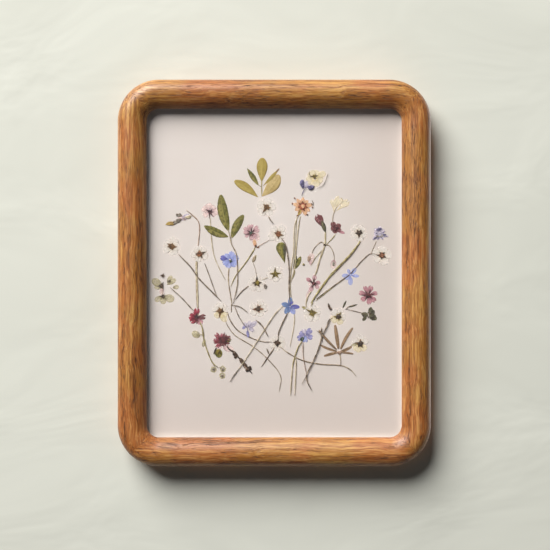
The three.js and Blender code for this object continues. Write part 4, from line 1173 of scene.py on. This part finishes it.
def branching(s):
    s.stem("pale_stem", 1.3, (33.4, 27), (33.2, 24), (33, 18), (30, 9.6), (28, 2), (26.4, -2),
           taper=0.9)
    s.stem("olive_stem", 0.6, (33.8, 27), (33.6, 22), (33.4, 18.4), (30.6, 9.6))
    s.stem("brown_stem", 0.6, (38.8, 39.4), (38.2, 35), (38.4, 32))
    s.stem("olive_stem", 0.6, (40, 25.6), (38.4, 23.2), (33.4, 18))
    s.stem("brown_stem", 0.6, (33, 18), (31, 20.4), (27.6, 18), (25.2, 14.4), (24.6, 11))
    s.stem("olive_stem", 0.5, (31.4, 15), (27, 10), (23.8, 4.6))
    s.stem("brown_stem", 0.7, (33, 18.2), (35.6, 18.2), (38.2, 14.6), (39.2, 10.6), (39, 7))
    s.stem("pale_stem", 1.2, (24.2, -12), (22.2, -15), (20.8, -20), (21.4, -24))
    s.blob("dark_heart", 33, 18.4, 0.9, 0.9)
    s.blade("plum", (32.2, 29.8), (27.2, 38.6), 4.8, peak=0.66, fullness=0.5, notch=0.16,
            fringe=0.12)
    s.blade("plum", (32, 31), (30.4, 38), 2.2, peak=0.6, lift=0.24)
    s.blade("dull_leaf", (33.6, 26.4), (31.2, 34.4), 2.8, lift=0.26, fullness=0.8)
    for tip, width in [((38.4, 48.4), 4.2), ((43.4, 50.2), 5.6), ((49.2, 47.8), 4.8)]:
        s.blade("cream", (39, 39.2), tip, width, peak=0.8, fullness=0.7, notch=0.14, fringe=0.1,
                fold=0.05)
    s.stem("pale_stem", 0.8, (39, 39), (39.8, 41.8), (41.4, 44.4))
    for tip, width in [((37.8, 33.6), 3.6), ((36.8, 29.6), 3.6), ((43.4, 32.2), 3.6),
                       ((44, 27.8), 3.2), ((39.4, 25.8), 3.4)]:
        s.blade("plum", (40, 28.8), tip, width, fullness=0.55, peak=0.62, fringe=0.14, fold=0.05)
    s.blade("pink", (41.6, 27.6), (46.2, 26), 2)
    s.heart("maroon_heart", 40.2, 29.2, 1, (330, 2.6), (80, 2.6), (190, 2.4))
    s.blade("rose", (23.8, 5.2), (24.6, 12.8), 4.2, peak=0.6, fullness=0.5)
    s.blob("rosy_stem", 22.8, 9.4, 1.2, 1.8, -12, lift=0.18, height=0.14)
    s.blob("olive_stem", 19.2, 5.6, 0.8, 0.8)
    s.blade("rose", (39, 8.6), (38.4, 2.8), 3.8, peak=0.5, fullness=0.5)
    s.blob("grey_bud", 38.8, 6, 0.9, 1.6, 4)
    s.petals("mauve", 25.6, -6.6, 0.6, (12, 5.8, 2.8), (305, 6, 2.6, "pink"), (85, 5, 2.6, "pink"),
             (135, 5.4, 2.6), (200, 6.6, 3), (255, 3.6, 2.2, "rose"), fullness=0.65, peak=0.6,
             notch=0.14, fringe=0.1)
    s.heart("maroon_heart", 25.6, -6.8, 1, (10, 4), (305, 3.4), (88, 3), (140, 2.6), (195, 3.2),
            arm="dark_heart")
    s.blade("rose", (23.6, -10.6), (21.2, -16.6), 2.4)


def stout_white(s):
    s.stem("olive_stem", 1.35, (56.2, 21.2), (54.8, 18.6), (49.6, 12), (43, 5), (37.4, -0.8),
           (30.4, -10), (24, -19.6), taper=1)
    s.stem("brown_stem", 0.5, (56.6, 20.6), (50.2, 11.8), (43.6, 4.8), (38, -1.2))
    s.stem("olive_stem", 0.9, (25, -18.6), (24.4, -22))
    s.white(55.4, 26.2, 6.2, (330, 2.6), (35, 2.6), (182, 3.2), (95, 2.4), (265, 2.4), turn=30,
            heart="dark_heart", knob=1.7)
    s.white(25, -26, 6, (300, 4.6), (85, 3.2), (170, 2.8), (345, 2.7), (235, 2.6), turn=0,
            heart="olive_heart", knob=1.6)
    s.blade("olive_stem", (21.4, -23.4), (18, -22), 1.6)


def blue_and_lilac(s):
    s.stem("dark_stem", 0.7, (67.2, 12), (64.6, 12.6), (61.6, 12), (56, 6.6), (49.6, -0.8),
           (42, -6.2), (33, -12.8), (27.6, -17), taper=1.2)
    s.stem("brown_stem", 0.5, (66.8, 20.8), (65.2, 17), (63.4, 13))
    s.stem("olive_stem", 0.5, (47, -3), (40, -8), (33, -13.6), (27, -18.4))
    s.white(70.4, 11.6, 6.6, (272, 3.4), (120, 3.2), (180, 2.7), (325, 2.6), (45, 2.6), turn=10,
            heart="rusty_heart", knob=1.7, arm="dark_heart")
    for tip, width in [((64.2, 21.8), 2.8), ((67.4, 21.8), 2.6), ((71.6, 22), 3), ((74.8, 24), 2.4),
                       ((65.6, 26.2), 2.8)]:
        s.blade("lilac", (69, 25), tip, width, fullness=0.8)
        s.blade("grey_bud", (69, 25), (Vector((69, 25)) + Vector(tip)) / 2, width * 0.5, lift=0.24)
    s.whorl("lilac", 68.8, 26.4, 4.2, 6, 0.7, 10, fullness=0.8, peak=0.5)
    for x, z in [(64.4, 21.6), (67.6, 21.4), (71.4, 21.6), (74.6, 23.6), (65.4, 26.6),
                 (72.8, 27.6)]:
        s.stem("lilac_bud", 0.45, (69 + (x - 69) * 0.3, 25 + (z - 25) * 0.3), (x, z), height=0.2)
    s.blob("lilac", 69, 25.4, 1.5, 1.3, lift=0.26, height=0.12)
    s.blade("lilac_bud", (66.6, 28.2), (70.4, 29), 1.6, lift=0.26)
    s.blade("lilac_bud", (71, 25), (73.4, 25.2), 0.9, lift=0.26)
    s.blade("lilac_bud", (65, 22.6), (67.8, 23.6), 1, lift=0.26)
    s.petals("pale_blue", 50, -1.6, 0.4, (35, 6, 2.7, "blue"), (335, 4.6, 2.2), (268, 5.8, 2.8),
             (182, 6.6, 3.2), (95, 5.6, 2.2, "blue"), (232, 4.4, 2.4), fullness=0.66, peak=0.58,
             notch=0.08)
    s.blob("pale_blue", 50, -1.4, 0.8, 0.8, lift=0.3, height=0.1)
    s.stem("lilac_bud", 0.35, (49, 2), (49.8, 0.2), (50.2, -1.4))


def dark_leaf(s):
    s.stem("dark_stem", 0.6, (60, -26.4), (57, -26), (52, -24.8), (47, -23.6))
    s.stem("dark_stem", 0.6, (46.6, -24), (49, -21.8), (53.6, -20.8))
    s.blade("dull_leaf", (48.6, -22.4), (54.4, -20.6), 1.3)
    s.blade("dull_leaf", (44.8, -23), (47.2, -18), 1.3)
    s.stem("dark_stem", 0.5, (57.4, -26.4), (58.8, -30))
    for base, tip, width in [((62, -27.4), (67, -30.4), 3.6), ((62.6, -27.2), (63.4, -22.2), 2.6),
                             ((57, -26.6), (61.6, -27.6), 2.8), ((61, -26), (65.8, -24.8), 2),
                             ((60.4, -28.4), (57.8, -31.2), 2), ((62, -27), (65.6, -27.6), 3.4)]:
        s.blade("dull_leaf", base, tip, width, teeth=0.3, fold=0.16, ruffle=0.08)
    for x, z, size in [(62.6, -26.6, 1), (64.6, -29.2, 0.9), (58.4, -28, 0.8), (61.4, -28.8, 0.7),
                       (65.4, -25.8, 0.6)]:
        s.blob("dark_heart", x, z, size, size * 0.7, 40 * x, lift=0.2, height=0.14)
    s.ragged("pink", 61.5, -14.4, 6.6, 24, 7, 0.5, 0.16)
    s.heart("maroon_heart", 61.5, -14.6, 1.2, (325, 4.2), (20, 4.2), (75, 4.6), (130, 3.8),
            (215, 3.4), (275, 4.2))


def lilac_fork(s):
    s.stem("dark_stem", 0.7, (-27.4, -21.2), (-22.6, -22), (-17.2, -25.8))
    s.stem("dark_stem", 0.65, (-26, -21.8), (-23.4, -28), (-20, -33.4), (-18.4, -35.4))
    s.white(-10.5, -23.5, 6.4, (90, 3.7), (268, 3.8), (355, 2.8), (35, 2.8), (160, 2.6), turn=12,
            heart="dark_heart", knob=1.6, arm="rusty_heart")
    for tip, width in [((-11, -31.6), 3.2), ((-13.4, -38), 2.8), ((-20.6, -32.4), 2.6),
                       ((-16, -30.8), 2.6)]:
        s.blade("lilac", (-16.6, -35.6), tip, width, fullness=0.6, notch=0.2, fringe=0.1)
    s.blade("violet", (-18.6, -34.4), (-20.8, -36.6), 2)
    s.blade("violet", (-17.6, -37.6), (-17, -42.2), 2)
    s.stem("lilac_bud", 0.4, (-18.6, -34), (-17.4, -37), (-16.2, -42.4))
    s.stem("lilac_bud", 0.3, (-15, -34), (-12.8, -33.4), (-11.4, -31.6))
    s.stem("lilac_bud", 0.3, (-14.4, -36.4), (-13.2, -37.8), (-15.2, -38.2))


def maroon(s):
    s.stem("dark_heart", 1.5, (-31, -47.5), (-29.4, -50), (-25.6, -52.2), (-22.8, -56),
           (-18.7, -60.2), (-14.4, -66))
    for x, z, width, height, turn in [(-26, -52.8, 1.3, 1.4, 30), (-25.4, -54.8, 1.2, 1, 40),
                                      (-21.2, -57.6, 1.4, 2.2, 40), (-19.2, -60.4, 1.4, 2.2, 35),
                                      (-17.4, -63.2, 1.6, 1.4, 30), (-15.8, -62, 0.9, 1.5, 30)]:
        s.blob("dark_heart", x, z, width, height, turn, lift=0.18, height=0.24)
    s.blade("rosy_stem", (-20, -60.6), (-18, -62.6), 0.7, lift=0.4)
    s.white(-35.2, -24.9, 5.9, (268, 3), (335, 2.7), (188, 4.3), (95, 2.4), (40, 2.4), turn=0,
            second="cream", knob=1.7)
    s.blade("cream", (-34.6, -27.6), (-31.4, -31.8), 4.2, fullness=0.5)
    s.blade("rose", (-33.4, -48.4), (-26.6, -50.4), 4.4)
    s.blade("rose", (-34.6, -48), (-38.6, -50.4), 2.6)
    for k in range(19):
        turn, reach = 206 + 10 * k + s.random.uniform(-6, 6), s.random.uniform(4.4, 7)
        finish = ("crimson", "plum", "crimson", "pink")[k % 4]
        s.petals(finish, -34.2, -44.4, 1, (turn, reach, 1.4), fullness=0.7, peak=0.6, notch=0.3,
                 fringe=0.3, fold=0.07)
    frayed = {"fullness": 0.6, "peak": 0.6, "notch": 0.2, "fringe": 0.2, "fold": 0.07}
    for tip, width in [((-28, -41.6), 3), ((-31.6, -39.8), 3), ((-28.4, -45.8), 3.4),
                       ((-36.8, -47.8), 3.6), ((-32.6, -48.4), 3.4)]:
        s.blade("plum", (-33.4, -44.2), tip, width, **frayed)
    s.blade("green_leaf", (-33.4, -44.2), (-27.6, -44), 2.2, **frayed)
    s.heart("maroon_heart", -33, -43.8, 2.2, (20, 3), (70, 3.6), (130, 3), (240, 3), (300, 3))
    s.blade("dark_heart", (-37.8, -48.6), (-39.6, -53.2), 1.2, lift=0.24)
    s.blade("green_leaf", (-37.2, -49.6), (-35.6, -55.4), 5, peak=0.5, fullness=0.5)
    s.blob("olive_heart", -36.4, -51.8, 1.5, 1.9, lift=0.22)


def trailing(s):
    s.stem("dark_stem", 0.95, (-30.6, -25.8), (-28.8, -31), (-24, -37.4), (-16, -42), (-8, -44.8),
           (-1.4, -45.2))
    s.stem("brown_stem", 0.85, (4, -48), (8, -51.6), (18, -57), (30, -59.6), (44, -60.6),
           (50.4, -63.8), (53.6, -67.6), taper=1)
    s.stem("brown_stem", 0.7, (-32.2, -29.4), (-31, -33.6), (-25.6, -40.8), (-14, -48), (-4.6, -56),
           (4, -67), (3.2, -77.6), taper=0.9)
    s.stem("dark_stem", 1, (0.4, -48.6), (-3, -53.4), (-8.4, -61.4))
    s.blade("dark_stem", (-3.4, -53.2), (-5, -49.2), 1)
    s.stem("brown_stem", 0.8, (42.8, -52.6), (43.4, -56), (43.6, -60.4))
    middle = Vector((42.4, -51.8))
    for tip, width, bend in [((39.8, -34), 2.5, 0), ((51.4, -35.8), 2.1, 0.6),
                             ((29.2, -37.4), 1.7, 0.5), ((30.2, -47.2), 1.7, 0.4),
                             ((32.6, -54.4), 1.9, -0.2), ((51.8, -53), 1.5, 0.2),
                             ((50.8, -48), 2, -0.4)]:
        start = middle + (Vector(tip) - middle) * 0.12
        s.blade("brown_leaf", start, tip, width, peak=0.5, fullness=0.3, fold=0.05, bend=bend)
        s.stem("dark_stem", 0.35, start, (start + Vector(tip)) / 2 + Vector((0.3, 0.2)), tip,
               height=0.26)
    s.blob("rosy_stem", 42.6, -52, 1.7, 1.2, lift=0.2)
    s.white(2, -46, 5.7, (285, 2.8), (80, 2.6), (180, 2.6), (10, 3), turn=40, heart="dark_heart",
            knob=1.6)
    s.white(56.3, -46.3, 6.1, (275, 4.3), (5, 3.1), (145, 2.9), (215, 2.7), (70, 2.4), turn=0,
            second="cream", heart="dark_heart", knob=1.7, arm="brown_heart")
    s.blade("sage", (54.4, -46.6), (50.2, -47.4), 1.8, lift=0.24)


def dark_stem(s):
    s.stem("dark_stem", 0.95, (38.2, -29.4), (36.4, -30.6), (33.4, -37), (31, -42), (28.8, -50),
           (25, -58.8), (21, -68), (24.2, -76.4), taper=1.1)
    s.stem("dark_stem", 0.6, (21, -67.6), (18, -72.6))
    s.stem("dark_stem", 1.2, (31, -35.6), (30.8, -40), (31.2, -44.6))
    s.blade("dark_heart", (34.4, -34.8), (36.2, -29.8), 1.1)
    s.stem("dark_stem", 0.8, (27.8, -37.6), (31, -40.4), (35, -45), (40, -49.6), taper=0.5)
    s.white(42, -28.4, 5.9, (270, 3.1), (30, 3.3), (175, 2.8), (100, 2.5), (330, 2.2), turn=25,
            second="cream", heart="dark_heart", knob=1.6, arm="olive_heart")
    s.blade("dark_heart", (36.6, -24), (35.2, -19.8), 1.5)
    s.blob("dark_heart", 36.8, -23.2, 0.8, 0.8)


def deep_blue(s):
    s.stem("dark_stem", 0.95, (8.8, -25.8), (6.2, -31), (3, -38.4), (2.6, -43))
    s.stem("pale_stem", 0.75, (5.6, -21.4), (0, -27.4), (-7, -38), (-14, -49), (-20.4, -58.8),
           (-28.8, -70.6))
    s.stem("grey_bud", 0.9, (-22.4, -61.6), (-26, -66.4), (-29, -71.2))
    s.stem("dark_stem", 1, (-12.2, -30.6), (-8, -34.4), (-4, -41.5))
    s.petals("deep_blue", 10.4, -21.8, 0.3, (2, 6, 3), (95, 6.4, 3, "indigo"),
             (150, 6, 3.6, "blue"), (215, 6, 3.8), (288, 6, 3.4), fullness=0.66, peak=0.5,
             notch=0.06)
    s.blade("indigo", (10, -20.2), (12.6, -18.8), 1.6, lift=0.28)
    s.stem("dark_stem", 0.7, (9.9, -15), (10.2, -19.6))
    s.stem("lilac_bud", 0.4, (10.4, -20), (11.2, -23.4), (13, -25.4))


def violet(s):
    s.stem("olive_stem", 0.9, (18.2, -44.6), (15.4, -49), (12.6, -57.6), (11.8, -63), taper=0.9)
    s.stem("pale_stem", 0.8, (11.9, -62), (11.2, -70), (10.6, -80), taper=0.9)
    s.stem("pale_stem", 0.8, (13.6, -54), (14.2, -60), (13.4, -80), taper=0.9)
    s.stem("rosy_stem", 0.6, (18.8, -45), (18.9, -54), (21, -66), taper=0.9)
    s.blob("green_heart", 18.2, -43.2, 1.6, 1.3, 30, lift=0.08)
    s.petals("violet", 20.2, -40.8, 0.3, (46, 6.2, 3.8), (108, 5.6, 3.6), (345, 4.6, 3.2, "lilac"),
             (245, 6, 3.8), (180, 4.8, 3.6, "blue"), (300, 4.6, 3), fullness=0.45, peak=0.66,
             notch=0.16, fringe=0.12)
    for x, z in [(20.4, -40.2), (21.6, -41.4), (19, -41.6), (22.6, -39.2)]:
        s.blob("lilac", x, z, 0.5, 0.35, 40 * x, lift=0.3, height=0.08)
    s.stem("lilac_bud", 0.35, (17, -42.4), (20.2, -41), (23.8, -38.2))


SPRIGS = [golden_leaf, green_leaf, golden_raceme, crimson, white_fork, blue_and_pink, white_pair,
          tall_white, peach, cream, branching, stout_white, blue_and_lilac, dark_leaf, lilac_fork,
          maroon, trailing, dark_stem, deep_blue, violet]


def make_flowers():
    for seed, draw in enumerate(SPRIGS):
        sprig = Sprig(draw.__name__, FIRST_SEED + seed)
        draw(sprig)
        sprig.finish(f"{draw.__name__}_sprig")


# ---------------------------------------------------------------- room, light and camera

ROOM_COLOUR = (0.93, 0.96, 1, 1)
ROOM_STRENGTH = 0.055
BACKDROP = rgb(222, 222, 214)


def make_wall():
    """A plain plastered wall, in metres. It shows only from its own side, and lets the back
    lamps by."""
    half, behind = 1.6, 0.0002
    corners = [(x, behind, z) for x, z in ((-half, -half), (half, -half), (half, half),
                                           (-half, half))]
    mesh = bpy.data.meshes.new("wall")
    mesh.from_pydata(corners, [], [(0, 1, 2, 3)])
    wall = placed("wall", mesh)
    g = Graph("plaster")
    place = g.place()
    strokes = g.noise(g.stretch(place, (9, 9, 16)), 1, 3, 0.5, 0.8)
    grit = g.noise(place, 900, 2)
    colour = g.blend(g.band(strokes, 0.35, 0.7), rgb(205, 206, 196), rgb(201, 202, 192))
    height = g.math("ADD", strokes, g.math("MULTIPLY", grit, 0.01))
    g.finish(colour, g.band(strokes, 0.3, 0.7, 0.8, 0.9), height, 0.0012)
    facing = g.node("NewGeometry", {})["Backfacing"]
    clear = g.node("BsdfTransparent", {})[0]
    g.surface(g.node("MixShader", {0: facing, 1: g.shader.outputs[0], 2: clear})[0])
    mesh.materials.append(g.material)
    wall.visible_shadow = False


def lamp(name, direction, distance, size, power, colour):
    """A round soft box that shines at the middle of the frame from a direction. Its distance and
    size are in metres, and its power in watts."""
    light = bpy.data.lights.new(name, "AREA")
    light.shape = "DISK"
    light.size = size
    light.energy = power
    light.color = colour
    thing = bpy.data.objects.new(name, light)
    scene.collection.objects.link(thing)
    towards = Vector(direction).normalized()
    thing.location = towards * distance
    thing.rotation_euler = (-towards).to_track_quat("-Z", "Y").to_euler()


def make_lights():
    """A dim room, which the camera sees as a pale backdrop past the wall's edge, a key lamp up
    at the left in front of the frame, and two lamps behind the wall for views from the back."""
    world = bpy.data.worlds.new("room")
    world.use_nodes = True
    scene.world = world
    tree = world.node_tree
    fill = tree.nodes["Background"]
    fill.inputs["Color"].default_value = ROOM_COLOUR
    fill.inputs["Strength"].default_value = ROOM_STRENGTH
    backdrop = tree.nodes.new("ShaderNodeBackground")
    backdrop.inputs["Color"].default_value = BACKDROP
    seen = tree.nodes.new("ShaderNodeLightPath")
    choice = tree.nodes.new("ShaderNodeMixShader")
    tree.links.new(seen.outputs["Is Camera Ray"], choice.inputs[0])
    tree.links.new(fill.outputs[0], choice.inputs[1])
    tree.links.new(backdrop.outputs[0], choice.inputs[2])
    tree.links.new(choice.outputs[0], tree.nodes["World Output"].inputs["Surface"])
    lamp("key", (-0.415, -0.578, 0.703), 3.3, 2.5, 240, (1, 0.988, 0.966))
    lamp("back_left", (-0.6, 0.8, 0.6), 1.8, 1.6, 30, (1, 0.98, 0.95))
    lamp("back_right", (0.8, 1.0, 0.15), 1.8, 1.4, 18, (0.95, 0.97, 1))


def make_camera():
    """Square on, a little below the frame's middle, where the frame's outline takes up as much
    of the picture as in the photo."""
    sensor = 36                 # mm
    seen = 358.6                # mm of the plane of the outline, across the picture
    distance = 0.843            # m from the camera to that plane
    silhouette = cad_box[0].y + OUTER_ROUND * MM
    data = bpy.data.cameras.new("camera")
    data.sensor_width = sensor
    data.lens = sensor * distance / (seen * MM)
    camera = bpy.data.objects.new("camera", data)
    camera.location = (0.5 * MM, silhouette - distance, -1.3 * MM)
    camera.rotation_euler = (math.pi / 2, 0, 0)
    scene.collection.objects.link(camera)
    scene.camera = camera


make_camera()
make_mouldings()
make_fittings()
make_stack()
make_flowers()
make_wall()
make_lights()
scene.view_settings.view_transform = "Standard"
